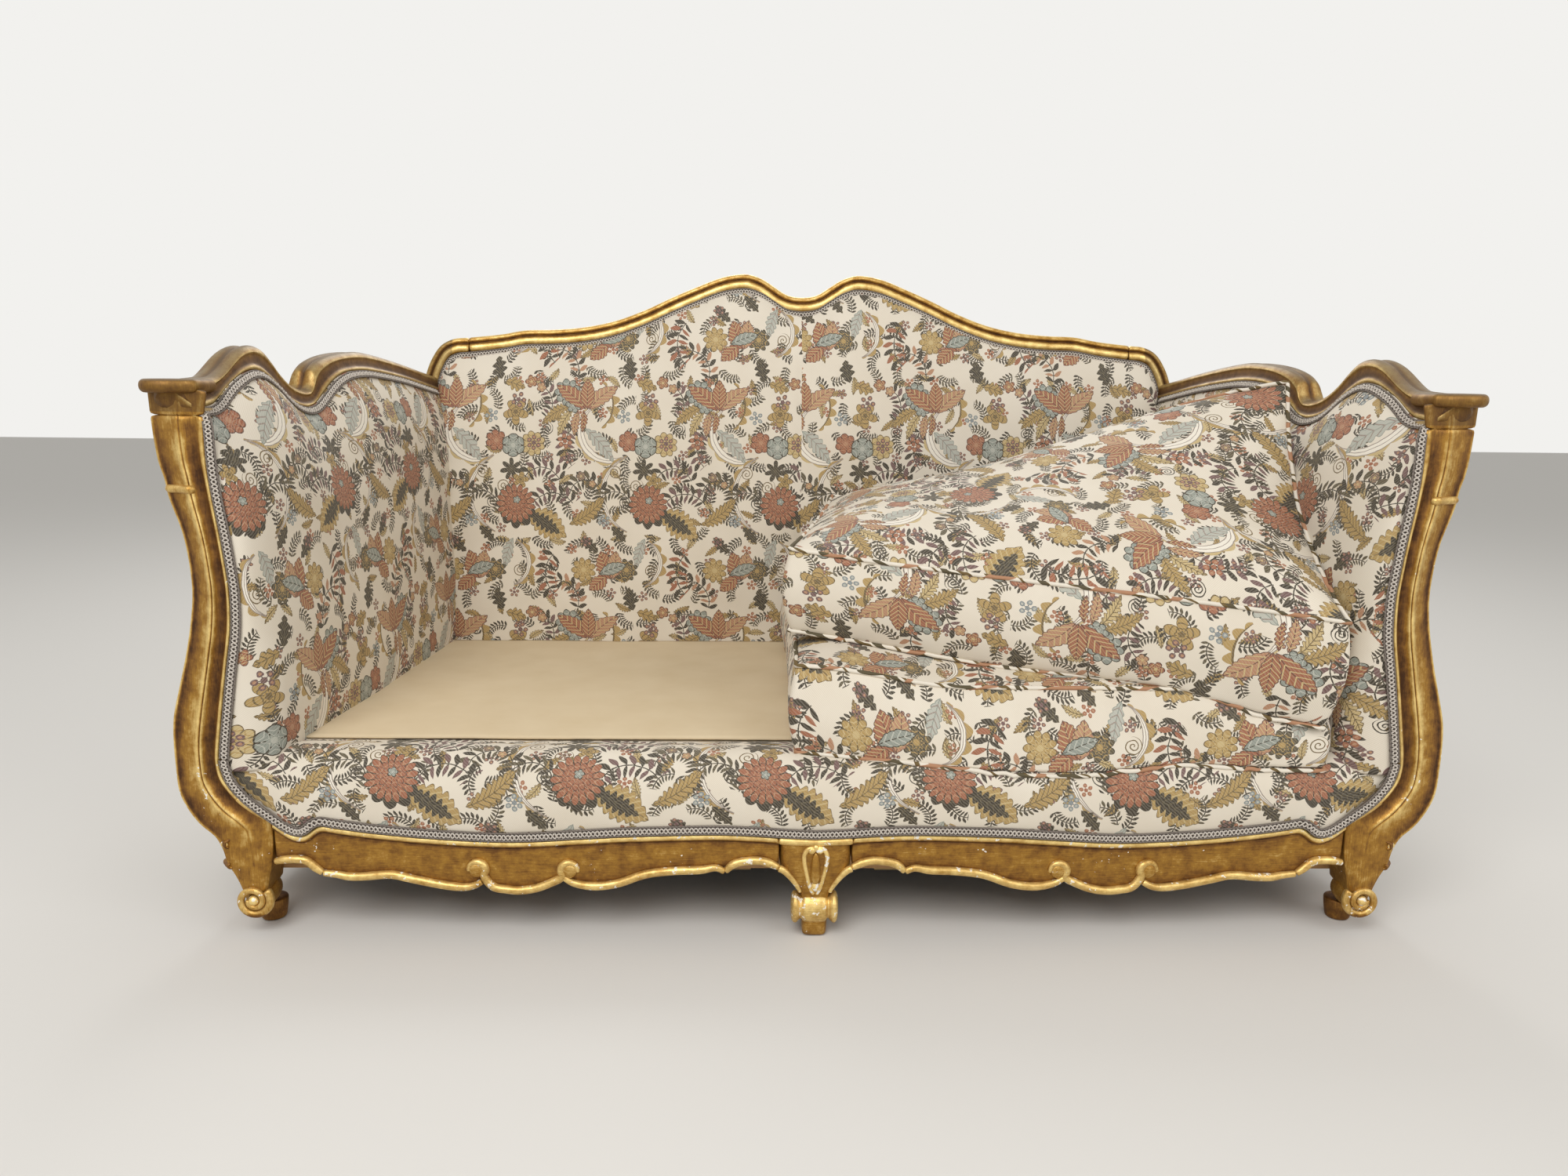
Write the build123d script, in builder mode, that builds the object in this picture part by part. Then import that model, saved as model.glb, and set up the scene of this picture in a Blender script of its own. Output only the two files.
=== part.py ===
"""Baroque two-seat sofa: giltwood show frame, sprung seat, tight back and arms, two loose cushions.

Millimetres. +Z is up, the sofa faces -Y, and the origin is on the floor under the middle of its box.
"""

import os
from math import cos, radians, sin, tan

from build123d import *

os.makedirs("parts", exist_ok=True)

# Overall size
WIDTH = 1940.0
DEPTH = 975.0
HEIGHT = 1076.0
FIT_GAP = 0.3

# Front posts, seen from the front: height, inset of the outer edge from the widest point, breadth
POST_DEPTH = 70.0
POST_TOP = (795.0, 27.0, 66.0)
POST_NECK = (704.0, 46.0, 52.0)
POST_SHOULDER = (682.0, 36.0, 60.0)
POST_WAIST = (540.0, 54.0, 56.0)
POST_SWELL = (394.0, 28.0, 63.0)
POST_BULGE = (268.0, 0.0, 68.0)
POST_NECK_SWELL = (755.0, 4.0)
POST_HAUNCH = (205.0, 98.0)
POST_BEAD = 5.0
POST_BEAD_WIDTH = 11.0
POST_CANT = 20.0

# Front legs and their scroll feet: height and inset of the outline's points
CALF = (190.0, 24.0)
KNEE = (152.0, 52.0)
KNEE_SCROLLS = ((140.0, 48.0), (118.0, 54.0))
ANKLE_OUTER = (88.0, 84.0)
ANKLE_BREADTH = 44.0
FOOT_INSET = 106.0
FOOT_Z = 57.0
FOOT_RADIUS = 31.0
FOOT_DEPTH = 58.0
FOOT_PAD_HALF = 24.0
SCROLL_PITCH = 15.0
SCROLL_WIDTH = 6.0
SCROLL_RISE = 5.0
KNEE_SCROLL_RADIUS = 12.0

# Front rail, bowed in plan and scalloped below: points are the share of the way to the post, and height
RAIL_JOINT_INSET = 138.0
RAIL_JOINT_Z = (112.0, 178.0)
RAIL_SET_BACK = 12.0
RAIL_BOW = 22.0
RAIL_BEAD = 11.0
RAIL_BEAD_RISE = 5.0
RAIL_TOP_Z = 150.0
RAIL_CREST = (0.168, 159.0)
RAIL_DROP = (0.349, 153.0)
RAIL_SAG = (0.529, 140.0)
RAIL_RISE = (0.769, 152.0)
RAIL_LIFT = (0.901, 167.0)
RAIL_KNOTS = ((0.909, 91.0), (0.617, 77.0), (0.472, 80.0), (0.169, 91.0))
RAIL_OUTER_WAVE = ((0.855, 82.0), (0.762, 83.0), (0.677, 63.0))
RAIL_INNER_WAVE = ((0.421, 64.0), (0.310, 89.0), (0.230, 88.0))
RAIL_END_ARCH = (0.950, 115.0)
RAIL_CENTRE_ARCH = (0.125, 109.0)
SCALLOP_SCROLLS = ((0.629, 95.0), (0.464, 95.0))
SCALLOP_SCROLL_RADIUS = 15.0
SCALLOP_LOW = (0.5445, 58.0)

# Centre front leg
CENTRE_HALF = 45.0
CENTRE_BLOCK_Z = 90.0
CENTRE_CALF = (26.0, 76.0)
CENTRE_INSTEP = (24.0, 16.0)
CENTRE_TOE_HALF = 16.0
CENTRE_SCROLL = (22.0, 44.0)
CENTRE_LEAF = (112.0, 15.0, 36.0)
CENTRE_ANKLE = (20.0, 64.0)
CENTRE_FOOT = (36.0, 46.0)
CENTRE_SCROLL_RADIUS = 12.0

# Arms: a plane that runs inwards to the back, and a waved top rail with a notch
ARM_INSET = 48.0
ARM_TAPER = 7.4
ARM_RAIL_BREADTH = 56.0
ARM_RAIL_HEIGHT = 42.0
ARM_FRONT_Z = 851.0
ARM_RISE = (105.0, 868.0)
ARM_PEAK = (200.0, 901.0)
ARM_FALL = (300.0, 868.0)
ARM_NOTCH = (352.0, 831.0)
ARM_STEP = (367.0, 858.0)
ARM_HAUNCH = (425.0, 886.0)
ARM_CREST = (523.0, 896.0)
ARM_SLOPE = (720.0, 881.0)
ARM_END_Z = 850.0
ARM_FLUTE = (14.0, 5.0)
CAP_OVERHANG = 50.0
CAP_BREADTH = 95.0
CAP_INSET = 10.0
CAP_Z = (822.0, 847.0)
CAP_CORNER = 14.0

# Back: raked frame under a crest rail with two peaks and a dip, its points as shares of the way to the end
BACK_RAKE = 4.0
CREST_DEPTH = 45.0
CREST_HEIGHT = 34.0
CREST_BEAD = (11.0, 5.0)
CREST_DIP_Z = 1028.0
CREST_LIFT = (0.082, 1050.0)
CREST_PEAK = 0.166
CREST_FALL = (0.388, 1024.0)
CREST_SHOULDER = (0.649, 959.0)
CREST_RUN = (0.822, 951.0)
CREST_END = (933.0, 240.0)
CORNER_TURN = (908.0, 180.0)
CORNER_SIDE = (866.0, 149.0)
CORNER_INSIDE = (870.0, 205.0)
BACK_POST_INSET = 138.0
BACK_POST_BREADTH = 60.0
CORNER_END_Z = 820.0
REAR_FOOT_SPLAY = 52.0
REAR_FOOT_DEPTH = 42.0
REAR_ANKLE = (60.0, 18.0)

# Seat frame
SEAT_RAIL_Z = (78.0, 150.0)
SEAT_RAIL_DEPTH = 30.0
SIDE_BREADTH = 44.0
STRETCHER_HALF = 20.0
STRETCHER_HEIGHT = 36.0
TACK_RAIL_Z = (296.0, 342.0)
TACK_RAIL_DEPTH = 34.0
TACK_RAIL_INSET = 8.0
RAIL_TACK_DROP = 2.0
STILE_HALF = 28.0
BLOCK_LEG = 90.0
BLOCK_INSET = 6.0
BLOCK_SCREW = 28.0
SCREW_RADIUS = 3.0
SCREW_LENGTH = 46.0
SCREW_STAGGER = 12.0
DOWEL_RADIUS = 6.0
DOWEL_LENGTH = 44.0
ARM_DOWEL_SHIFT = 10.0

# Springs and webbing
WEB_WIDTH = 50.0
WEB_THICK = 2.5
SPRING_COLUMNS = 6
SPRING_ROWS = 2
SPRING_PITCH = (250.0, 330.0)
SPRING_SHIFT = 20.0
SPRING_RADIUS = 46.0
SPRING_WAIST = 30.0
SPRING_WALL = 1.2
SPRING_SIDES = 12
COVER_THICK = 2.0

# Upholstery
DECK_Z = 285.0
DECK_CROWN = 6.0
DECK_CROWN_INSET = 180.0
HESSIAN_Z = 258.0
PAD_FRONT_INSET = 155.0
PAD_REAR_INSET = 222.0
ROLL_TOP_Z = 289.0
ROLL_REACH = 92.5
ROLL_PROUD = 6.0
ROLL_SET_BACK = 8.0
ROLL_REAR_DROP = 6.0
ROLL_CROWN = 48.0
ROLL_BROW = (12.0, 26.0)
NOSE_SET_BACK = 10.0
NOSE_RADIUS = 36.0
PAD_SHOULDER = 14.0
ARM_PAD_SHAPE = ((0.0, 0.0), (0.55, 10.0), (1.0, 52.0))
BACK_PAD_DEPTH = 74.0
BACK_WEB_ROWS = 3
BACK_WEB_PITCH = 130.0
BACK_WEB_FRONT = -6.0
BACK_PAD_SHAPE = (
    (0.0, 0.0, 0.0),
    (4.0, 1.0, 0.0),
    (26.0, 36.0, 12.0),
    (56.0, 120.0, 50.0),
    (BACK_PAD_DEPTH - BACK_WEB_FRONT, 330.0, 95.0),
)
PANEL_THICK = 4.0
GIMP_WIDTH = 14.0
GIMP_THICK = 4.0

# Loose cushions: both are the same make, the upper one lies askew on the lower one
CUSHION_REAR_GAP = 52.0
CUSHION_HEIGHT = 150.0
CUSHION_CROWN = 34.0
CUSHION_BULGE = 10.0
CUSHION_END_PULL = 14.0
CUSHION_COVER = 3.0
LOWER_LEFT_X = -24.0
LOWER_SET_BACK = 45.5
LOWER_SQUASH = 46.0
UPPER_LEFT_X = -42.0
UPPER_RIGHT_INSET = 176.0
UPPER_SET_BACK = (169.5, 7.5)
UPPER_CORNER_Z = (448.0, 356.0)
UPPER_TILT = (3.0, 46.0)
UPPER_CURL = 1.2
UPPER_SHORT = (100.0, 150.0)
UPPER_HEIGHT = (138.0, 148.0)
ARM_PAD_TURN = 5.0
CUSHION_SIDE_GAP = 4.0
CUSHION_SHARES = (0.0, 0.02, 0.25, 0.5, 0.75, 0.98, 1.0)

# Worked-out positions
HALF_WIDTH = WIDTH / 2
CAP_FRONT_Y = -DEPTH / 2
REAR_Y = DEPTH / 2
RAIL_JOINT_X = HALF_WIDTH - RAIL_JOINT_INSET
FOOT_X = HALF_WIDTH - FOOT_INSET
ARM_X = HALF_WIDTH - ARM_INSET
ARM_LENGTH = DEPTH - CREST_DEPTH
CREST_END_X = HALF_WIDTH - CREST_END[1]
BACK_POST_X = (HALF_WIDTH - BACK_POST_INSET - BACK_POST_BREADTH, HALF_WIDTH - BACK_POST_INSET)
PAD_FRONT_X = HALF_WIDTH - PAD_FRONT_INSET
PAD_REAR_X = HALF_WIDTH - PAD_REAR_INSET
POST_FRONT_Y = CAP_FRONT_Y + CAP_OVERHANG
ROLL_BACK_Y = POST_FRONT_Y + ROLL_REACH
LOWER_FRONT_Y = POST_FRONT_Y + LOWER_SET_BACK
POST_BACK_Y = POST_FRONT_Y + POST_DEPTH
RAIL_END_Y = POST_FRONT_Y + RAIL_SET_BACK
RAKE = radians(BACK_RAKE)
BACK_Y = REAR_Y - CREST_DEPTH / cos(RAKE) - HEIGHT * tan(RAKE)
BACK = Plane(origin=(0, BACK_Y, 0), x_dir=(1, 0, 0), z_dir=(0, -cos(RAKE), sin(RAKE)))
TAPER = radians(ARM_TAPER)
ARM_ALONG = (-sin(TAPER), cos(TAPER), 0)
ARM_OUT = (cos(TAPER), sin(TAPER), 0)


def front_plane(y):
    """Vertical plane across the sofa at depth y, facing the front."""
    return Plane.XZ.offset(-y)


def arm_plane(out=0.0):
    """Vertical plane along the right arm, moved outwards by out."""
    shift = Vector(*ARM_OUT) * out
    return Plane(origin=Vector(ARM_X, POST_FRONT_Y, 0) + shift, x_dir=ARM_ALONG, z_dir=ARM_OUT)


def back_front_y(z):
    """Depth of the back frame's front face at height z."""
    return BACK_Y + z * tan(RAKE)


def pad_x(y):
    """Inner face of the right arm pad at depth y."""
    share = (y - POST_FRONT_Y) / (back_front_y(DECK_Z) - POST_FRONT_Y)
    return PAD_FRONT_X + share * (PAD_REAR_X - PAD_FRONT_X)


def side_point(point):
    """Place of a point given by its height and its inset from the widest point."""
    return (HALF_WIDTH - point[1], point[0])


def shared(points, reach):
    """Places of points given by the share of a reach and their height."""
    return [(share * reach, z) for share, z in points]


def moved(points, across=0.0, up=0.0):
    """Copy of the points, shifted across and up."""
    return [(a + across, b + up) for a, b in points]


def strip(points, across=0.0, up=0.0):
    """Flat strip between a curve and the same curve shifted."""
    other = moved(points, across, up)
    with BuildSketch() as sketch:
        with BuildLine():
            Spline(*points)
            Line(points[-1], other[-1])
            Spline(*other)
            Line(other[0], points[0])
        make_face()
    return sketch.sketch


def volute(radius):
    """Flat spiral ribbon of half circles that wind in by one pitch a turn."""
    steps = int(2 * radius / SCROLL_PITCH)
    with BuildSketch() as sketch:
        with BuildLine():
            for step in range(steps):
                turn = radius - SCROLL_WIDTH / 2 - step * SCROLL_PITCH / 2
                CenterArc((-(step % 2) * SCROLL_PITCH / 2, 0), turn, 180 * (step % 2), 180)
        trace(line_width=SCROLL_WIDTH)
    return sketch.sketch


def bowed_slab(lead=0.0):
    """Plan of the space behind the bowed front, back to the posts' rear face."""
    with BuildSketch() as sketch:
        with BuildLine():
            ThreePointArc(
                (-HALF_WIDTH, RAIL_END_Y - lead),
                (0, RAIL_END_Y - RAIL_BOW - lead),
                (HALF_WIDTH, RAIL_END_Y - lead),
            )
            Line((HALF_WIDTH, RAIL_END_Y - lead), (HALF_WIDTH, POST_BACK_Y))
            Line((HALF_WIDTH, POST_BACK_Y), (-HALF_WIDTH, POST_BACK_Y))
            Line((-HALF_WIDTH, POST_BACK_Y), (-HALF_WIDTH, RAIL_END_Y - lead))
        make_face()
    return sketch.sketch


def save(piece, name):
    """Label a piece and write it as its own file."""
    piece.part.label = name
    export_step(piece.part, f"parts/{name}.step")


def save_pair(piece, name):
    """Write a right-hand piece and its mirror image for the left."""
    save(piece, f"right_{name}")
    with BuildPart() as other:
        mirror(piece.part, about=Plane.YZ)
    save(other, f"left_{name}")


# Curves that several pieces share
def post_point(station, inner):
    """Point of the post's outline, on its inner or outer edge."""
    z, inset, breadth = station
    return (HALF_WIDTH - inset - (breadth if inner else 0.0), z)


SHAFT = (POST_SHOULDER, POST_WAIST, POST_SWELL, POST_BULGE)
POST_INNER = [(RAIL_JOINT_X, RAIL_JOINT_Z[1]), side_point(POST_HAUNCH)]
POST_INNER += [post_point(station, True) for station in reversed(SHAFT)]
POST_INNER.append(post_point(POST_TOP, True))
POST_OUTER = [post_point(station, False) for station in SHAFT]
POST_OUTER += [side_point(point) for point in (CALF, KNEE, ANKLE_OUTER)]
ANKLE_INNER = (POST_OUTER[-1][0] - ANKLE_BREADTH, ANKLE_OUTER[0])
RAIL_TOP = [(CENTRE_HALF, RAIL_TOP_Z)]
RAIL_TOP += shared((RAIL_CREST, RAIL_DROP, RAIL_SAG, RAIL_RISE, RAIL_LIFT), RAIL_JOINT_X)
RAIL_TOP.append((RAIL_JOINT_X, RAIL_JOINT_Z[1]))
CREST_HALF = [CREST_LIFT, (CREST_PEAK, HEIGHT), CREST_FALL, CREST_SHOULDER, CREST_RUN, (1.0, CREST_END[0])]
CREST_HALF = shared(CREST_HALF, CREST_END_X)
CREST_TOP = [(-x, z) for x, z in reversed(CREST_HALF)] + [(0, CREST_DIP_Z)] + CREST_HALF
CREST_TOP = [(x, z / cos(RAKE)) for x, z in CREST_TOP]
CREST_LOW = moved(CREST_TOP, 0, -CREST_HEIGHT)
CORNER_LOW = [CREST_LOW[-1], side_point(CORNER_INSIDE), (BACK_POST_X[0], CORNER_END_Z / cos(RAKE))]
ARM_FRONT_WAVE = [(POST_DEPTH, ARM_FRONT_Z), ARM_RISE, ARM_PEAK, ARM_FALL, ARM_NOTCH]
ARM_REAR_WAVE = [ARM_NOTCH, ARM_STEP, ARM_HAUNCH, ARM_CREST, ARM_SLOPE, (ARM_LENGTH, ARM_END_Z)]

# Hardwood dowels in the frame's joints, on the right-hand side
RAIL_DOWEL = (RAIL_JOINT_X, POST_FRONT_Y + POST_DEPTH / 2, sum(RAIL_JOINT_Z) / 2)
CENTRE_DOWEL = (CENTRE_HALF, RAIL_DOWEL[1], (CENTRE_BLOCK_Z + RAIL_TOP_Z) / 2)
CREST_DOWEL = BACK.from_local_coords((CREST_END_X, CREST_LOW[-1][1] + CREST_HEIGHT / 2, -CREST_DEPTH / 2))
ARM_DOWEL = (post_point(POST_TOP, True)[0] + POST_TOP[2] / 2, RAIL_DOWEL[1], POST_TOP[0])
ARM_REAR_Z = ARM_END_Z - ARM_RAIL_HEIGHT / 2
ARM_REAR_DOWEL = (sum(BACK_POST_X) / 2 + ARM_DOWEL_SHIFT, back_front_y(ARM_REAR_Z), ARM_REAR_Z)
with BuildPart() as dowels:
    with Locations(RAIL_DOWEL, CENTRE_DOWEL, CREST_DOWEL):
        Cylinder(DOWEL_RADIUS, DOWEL_LENGTH, rotation=(0, 90, 0))
    with Locations(ARM_DOWEL):
        Cylinder(DOWEL_RADIUS, DOWEL_LENGTH)
    with Locations(ARM_REAR_DOWEL):
        Cylinder(DOWEL_RADIUS, DOWEL_LENGTH, rotation=(90, 0, 0))
with BuildPart() as all_dowels:
    add(dowels.part)
    mirror(about=Plane.YZ)
save(all_dowels, "frame_dowels")

# Front posts with leg, bead, canted edge and scroll foot
with BuildPart() as front_post:
    neck_mid = (post_point(POST_TOP, False)[0] - POST_NECK_SWELL[1], POST_NECK_SWELL[0])
    with BuildSketch(front_plane(POST_FRONT_Y)):
        with BuildLine():
            Spline(post_point(POST_TOP, False), neck_mid, post_point(POST_NECK, False))
            Polyline(post_point(POST_NECK, False), (POST_OUTER[0][0], POST_NECK[0]), POST_OUTER[0])
            Spline(*POST_OUTER)
            Polyline(
                POST_OUTER[-1],
                ANKLE_INNER,
                (RAIL_JOINT_X, RAIL_JOINT_Z[0]),
                (RAIL_JOINT_X, RAIL_JOINT_Z[1]),
            )
            Spline(*POST_INNER)
            Line(POST_INNER[-1], post_point(POST_TOP, False))
        make_face()
    extrude(amount=-POST_DEPTH)
    shaft_edges = front_post.edges().filter_by(lambda e: abs(e.center().Y - POST_FRONT_Y) < 1)
    chamfer(shaft_edges.sort_by(Axis.X)[-1], length=POST_CANT)
    with BuildSketch(front_plane(POST_FRONT_Y)):
        add(strip(POST_INNER, across=POST_BEAD_WIDTH))
    extrude(amount=POST_BEAD)
    with BuildSketch(front_plane(POST_FRONT_Y)):
        with Locations((FOOT_X, FOOT_Z)):
            Circle(FOOT_RADIUS)
        with BuildLine():
            Polyline(
                (FOOT_X - FOOT_PAD_HALF, 0),
                (FOOT_X + FOOT_PAD_HALF, 0),
                POST_OUTER[-1],
                ANKLE_INNER,
                close=True,
            )
        make_face()
    extrude(amount=-FOOT_DEPTH)
    with BuildSketch(front_plane(POST_FRONT_Y)):
        with Locations((FOOT_X, FOOT_Z)):
            add(volute(FOOT_RADIUS))
    extrude(amount=SCROLL_RISE)
    with BuildSketch(front_plane(POST_FRONT_Y - SCROLL_RISE)):
        with Locations([side_point(point) for point in KNEE_SCROLLS]):
            Circle(KNEE_SCROLL_RADIUS)
    extrude(amount=-POST_DEPTH / 2)
    add(dowels.part, mode=Mode.SUBTRACT)
save_pair(front_post, "front_post")

# Arm rails with front block, overhanging cap and fluted, waved top
with BuildPart() as arm_rail:
    with BuildSketch(arm_plane(-ARM_RAIL_BREADTH / 2)):
        add(strip(ARM_FRONT_WAVE, up=-ARM_RAIL_HEIGHT))
        add(strip(ARM_REAR_WAVE, up=-ARM_RAIL_HEIGHT))
    extrude(amount=ARM_RAIL_BREADTH)
    with BuildSketch(arm_plane(-ARM_FLUTE[0] / 2)):
        add(strip(ARM_FRONT_WAVE, up=-ARM_FLUTE[1]))
        add(strip(ARM_REAR_WAVE, up=-ARM_FLUTE[1]))
    extrude(amount=ARM_FLUTE[0], mode=Mode.SUBTRACT)
    split(bisect_by=BACK)
    block_inner = post_point(POST_TOP, True)[0]
    block_outer = post_point(POST_TOP, False)[0]
    with BuildSketch(Plane.XY.offset(POST_TOP[0])):
        with Locations((block_inner, POST_FRONT_Y)):
            Rectangle(block_outer - block_inner, POST_DEPTH, align=(Align.MIN, Align.MIN))
    extrude(amount=CAP_Z[0] - POST_TOP[0])
    with BuildSketch(Plane.XY.offset(CAP_Z[0])) as cap:
        with Locations((HALF_WIDTH - CAP_INSET - CAP_BREADTH, CAP_FRONT_Y)):
            Rectangle(CAP_BREADTH, CAP_OVERHANG + POST_DEPTH, align=(Align.MIN, Align.MIN))
        fillet(cap.vertices().group_by(Axis.Y)[0], CAP_CORNER)
    extrude(amount=CAP_Z[1] - CAP_Z[0])
    add(dowels.part, mode=Mode.SUBTRACT)
save_pair(arm_rail, "arm_rail")

# Front rail in two halves, each with a scalloped lower edge, two beads and carved scrolls
SCALLOPS = (
    [(RAIL_JOINT_X, RAIL_JOINT_Z[0]), *shared((RAIL_END_ARCH, RAIL_KNOTS[0]), RAIL_JOINT_X)],
    shared((RAIL_KNOTS[0], *RAIL_OUTER_WAVE, RAIL_KNOTS[1]), RAIL_JOINT_X),
    shared((RAIL_KNOTS[1], SCALLOP_LOW, RAIL_KNOTS[2]), RAIL_JOINT_X),
    shared((RAIL_KNOTS[2], *RAIL_INNER_WAVE, RAIL_KNOTS[3]), RAIL_JOINT_X),
    [*shared((RAIL_KNOTS[3], RAIL_CENTRE_ARCH), RAIL_JOINT_X), (CENTRE_HALF, CENTRE_BLOCK_Z)],
)
with BuildPart() as front_rail:
    with BuildSketch(front_plane(CAP_FRONT_Y)):
        with BuildLine():
            for points in SCALLOPS:
                Spline(*points)
            Line(SCALLOPS[-1][-1], RAIL_TOP[0])
            Spline(*RAIL_TOP)
            Line(RAIL_TOP[-1], SCALLOPS[0][0])
        make_face()
    extrude(amount=-DEPTH / 2)
    with BuildSketch(Plane.XY):
        add(bowed_slab())
    extrude(amount=HEIGHT, mode=Mode.INTERSECT)
with BuildPart() as rail_beads:
    with BuildSketch(front_plane(CAP_FRONT_Y)):
        add(strip(RAIL_TOP, up=-RAIL_BEAD))
        for points in SCALLOPS:
            add(strip(points, up=RAIL_BEAD))
        with Locations(shared(SCALLOP_SCROLLS, RAIL_JOINT_X)):
            Circle(SCALLOP_SCROLL_RADIUS)
    extrude(amount=-DEPTH / 2)
    with BuildSketch(Plane.XY):
        add(bowed_slab(RAIL_BEAD_RISE))
    extrude(amount=HEIGHT, mode=Mode.INTERSECT)
with BuildPart() as carved_rail:
    add(front_rail.part)
    add(rail_beads.part)
    add(dowels.part, mode=Mode.SUBTRACT)
save_pair(carved_rail, "front_rail")

# Centre front leg: a block between the rails that narrows to a scrolled foot
CENTRE_FRONT_Y = RAIL_END_Y - RAIL_BOW - RAIL_BEAD_RISE
with BuildPart() as centre_leg:
    with BuildSketch(front_plane(CENTRE_FRONT_Y)):
        with BuildLine():
            Line((0, RAIL_TOP_Z), (CENTRE_HALF, RAIL_TOP_Z))
            Line((CENTRE_HALF, RAIL_TOP_Z), (CENTRE_HALF, CENTRE_BLOCK_Z))
            Spline((CENTRE_HALF, CENTRE_BLOCK_Z), CENTRE_CALF, CENTRE_ANKLE)
            Spline(CENTRE_ANKLE, CENTRE_FOOT, CENTRE_INSTEP, (CENTRE_TOE_HALF, 0))
            Line((CENTRE_TOE_HALF, 0), (0, 0))
            Line((0, 0), (0, RAIL_TOP_Z))
        make_face()
        mirror(about=Plane.YZ)
    extrude(amount=CENTRE_FRONT_Y - POST_BACK_Y)
    with BuildSketch(front_plane(CENTRE_FRONT_Y)):
        with Locations((0, CENTRE_LEAF[0])):
            Ellipse(*CENTRE_LEAF[1:])
        with Locations(CENTRE_SCROLL, (-CENTRE_SCROLL[0], CENTRE_SCROLL[1])):
            Circle(CENTRE_SCROLL_RADIUS)
    extrude(amount=SCROLL_RISE)
    add(all_dowels.part, mode=Mode.SUBTRACT)
save(centre_leg, "centre_leg")

# Crest rail
with BuildPart() as crest_rail:
    with BuildSketch(BACK):
        add(strip(CREST_TOP, up=-CREST_HEIGHT))
    extrude(amount=-CREST_DEPTH)
    with BuildSketch(BACK):
        add(strip(CREST_TOP, up=-CREST_BEAD[0]))
    extrude(amount=CREST_BEAD[1])
    add(all_dowels.part, mode=Mode.SUBTRACT)
save(crest_rail, "crest_rail")

# Back posts: raked, with a swept rear foot below and the crest's turned corner above
with BuildPart() as back_post:
    corner_outer = (BACK_POST_X[1], CORNER_LOW[-1][1])
    with BuildSketch(BACK):
        with BuildLine():
            Spline(CREST_TOP[-1], side_point(CORNER_TURN), side_point(CORNER_SIDE), corner_outer)
            Line(corner_outer, CORNER_LOW[-1])
            Spline(*CORNER_LOW)
            Line(CREST_LOW[-1], CREST_TOP[-1])
        make_face()
    extrude(amount=-CREST_DEPTH)
    rear = CREST_DEPTH / cos(RAKE)
    leg_z = SEAT_RAIL_Z[1]
    foot_y = back_front_y(0) + REAR_FOOT_SPLAY
    ankle_y = back_front_y(REAR_ANKLE[0]) + REAR_ANKLE[1]
    with BuildSketch(Plane.YZ.offset(BACK_POST_X[0])):
        with BuildLine():
            Line((back_front_y(CORNER_END_Z), CORNER_END_Z), (back_front_y(leg_z), leg_z))
            Spline((back_front_y(leg_z), leg_z), (ankle_y, REAR_ANKLE[0]), (foot_y, 0))
            Line((foot_y, 0), (foot_y + REAR_FOOT_DEPTH, 0))
            Spline(
                (foot_y + REAR_FOOT_DEPTH, 0),
                (ankle_y + REAR_FOOT_DEPTH, REAR_ANKLE[0]),
                (back_front_y(leg_z) + rear, leg_z),
            )
            Polyline(
                (back_front_y(leg_z) + rear, leg_z),
                (back_front_y(CORNER_END_Z) + rear, CORNER_END_Z),
                (back_front_y(CORNER_END_Z), CORNER_END_Z),
            )
        make_face()
    extrude(amount=BACK_POST_X[1] - BACK_POST_X[0])
    add(dowels.part, mode=Mode.SUBTRACT)
save_pair(back_post, "back_post")

# Hidden seat frame
FRONT_RAIL_Z = (SEAT_RAIL_Z[0], RAIL_SAG[1] - RAIL_TACK_DROP)
FRONT_RAIL_BACK_Y = POST_BACK_Y + SEAT_RAIL_DEPTH
SIDE_INNER = -ARM_RAIL_BREADTH / 2


def arm_bar(inner, breadth, low, high):
    """Straight bar along the right arm, cut square to the front post and flush with the back frame."""
    with BuildPart() as bar:
        with BuildSketch(arm_plane(inner)):
            with Locations((0, low)):
                Rectangle(ARM_LENGTH, high - low, align=(Align.MIN, Align.MIN))
        extrude(amount=breadth)
        split(bisect_by=front_plane(POST_BACK_Y), keep=Keep.BOTTOM)
        split(bisect_by=BACK)
    return bar


def back_bar(half, low, high, front, depth):
    """Flat bar in the back frame, between two heights, with its front face at the given offset."""
    with BuildPart() as bar:
        with BuildSketch(BACK.offset(front)):
            with Locations((0, low / cos(RAKE))):
                Rectangle(2 * half, (high - low) / cos(RAKE), align=(Align.CENTER, Align.MIN))
        extrude(amount=-depth)
    return bar


side_rail = arm_bar(SIDE_INNER, SIDE_BREADTH, *SEAT_RAIL_Z)
arm_tack_rail = arm_bar(SIDE_INNER + TACK_RAIL_INSET, TACK_RAIL_DEPTH, *TACK_RAIL_Z)
save_pair(arm_tack_rail, "arm_tack_rail")
rear_rail = back_bar(BACK_POST_X[0], *SEAT_RAIL_Z, 0, CREST_DEPTH)
save(rear_rail, "rear_seat_rail")
BACK_FRAME_FRONT = BACK_WEB_FRONT - 2 * WEB_THICK
BAR_DEPTH = CREST_DEPTH + BACK_FRAME_FRONT - PANEL_THICK
back_lower_rail = back_bar(BACK_POST_X[0], *TACK_RAIL_Z, BACK_FRAME_FRONT, BAR_DEPTH)
save(back_lower_rail, "back_lower_rail")
back_stile = back_bar(STILE_HALF, TACK_RAIL_Z[1], CREST_DIP_Z - CREST_HEIGHT, BACK_FRAME_FRONT, BAR_DEPTH)
save(back_stile, "back_centre_stile")

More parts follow.
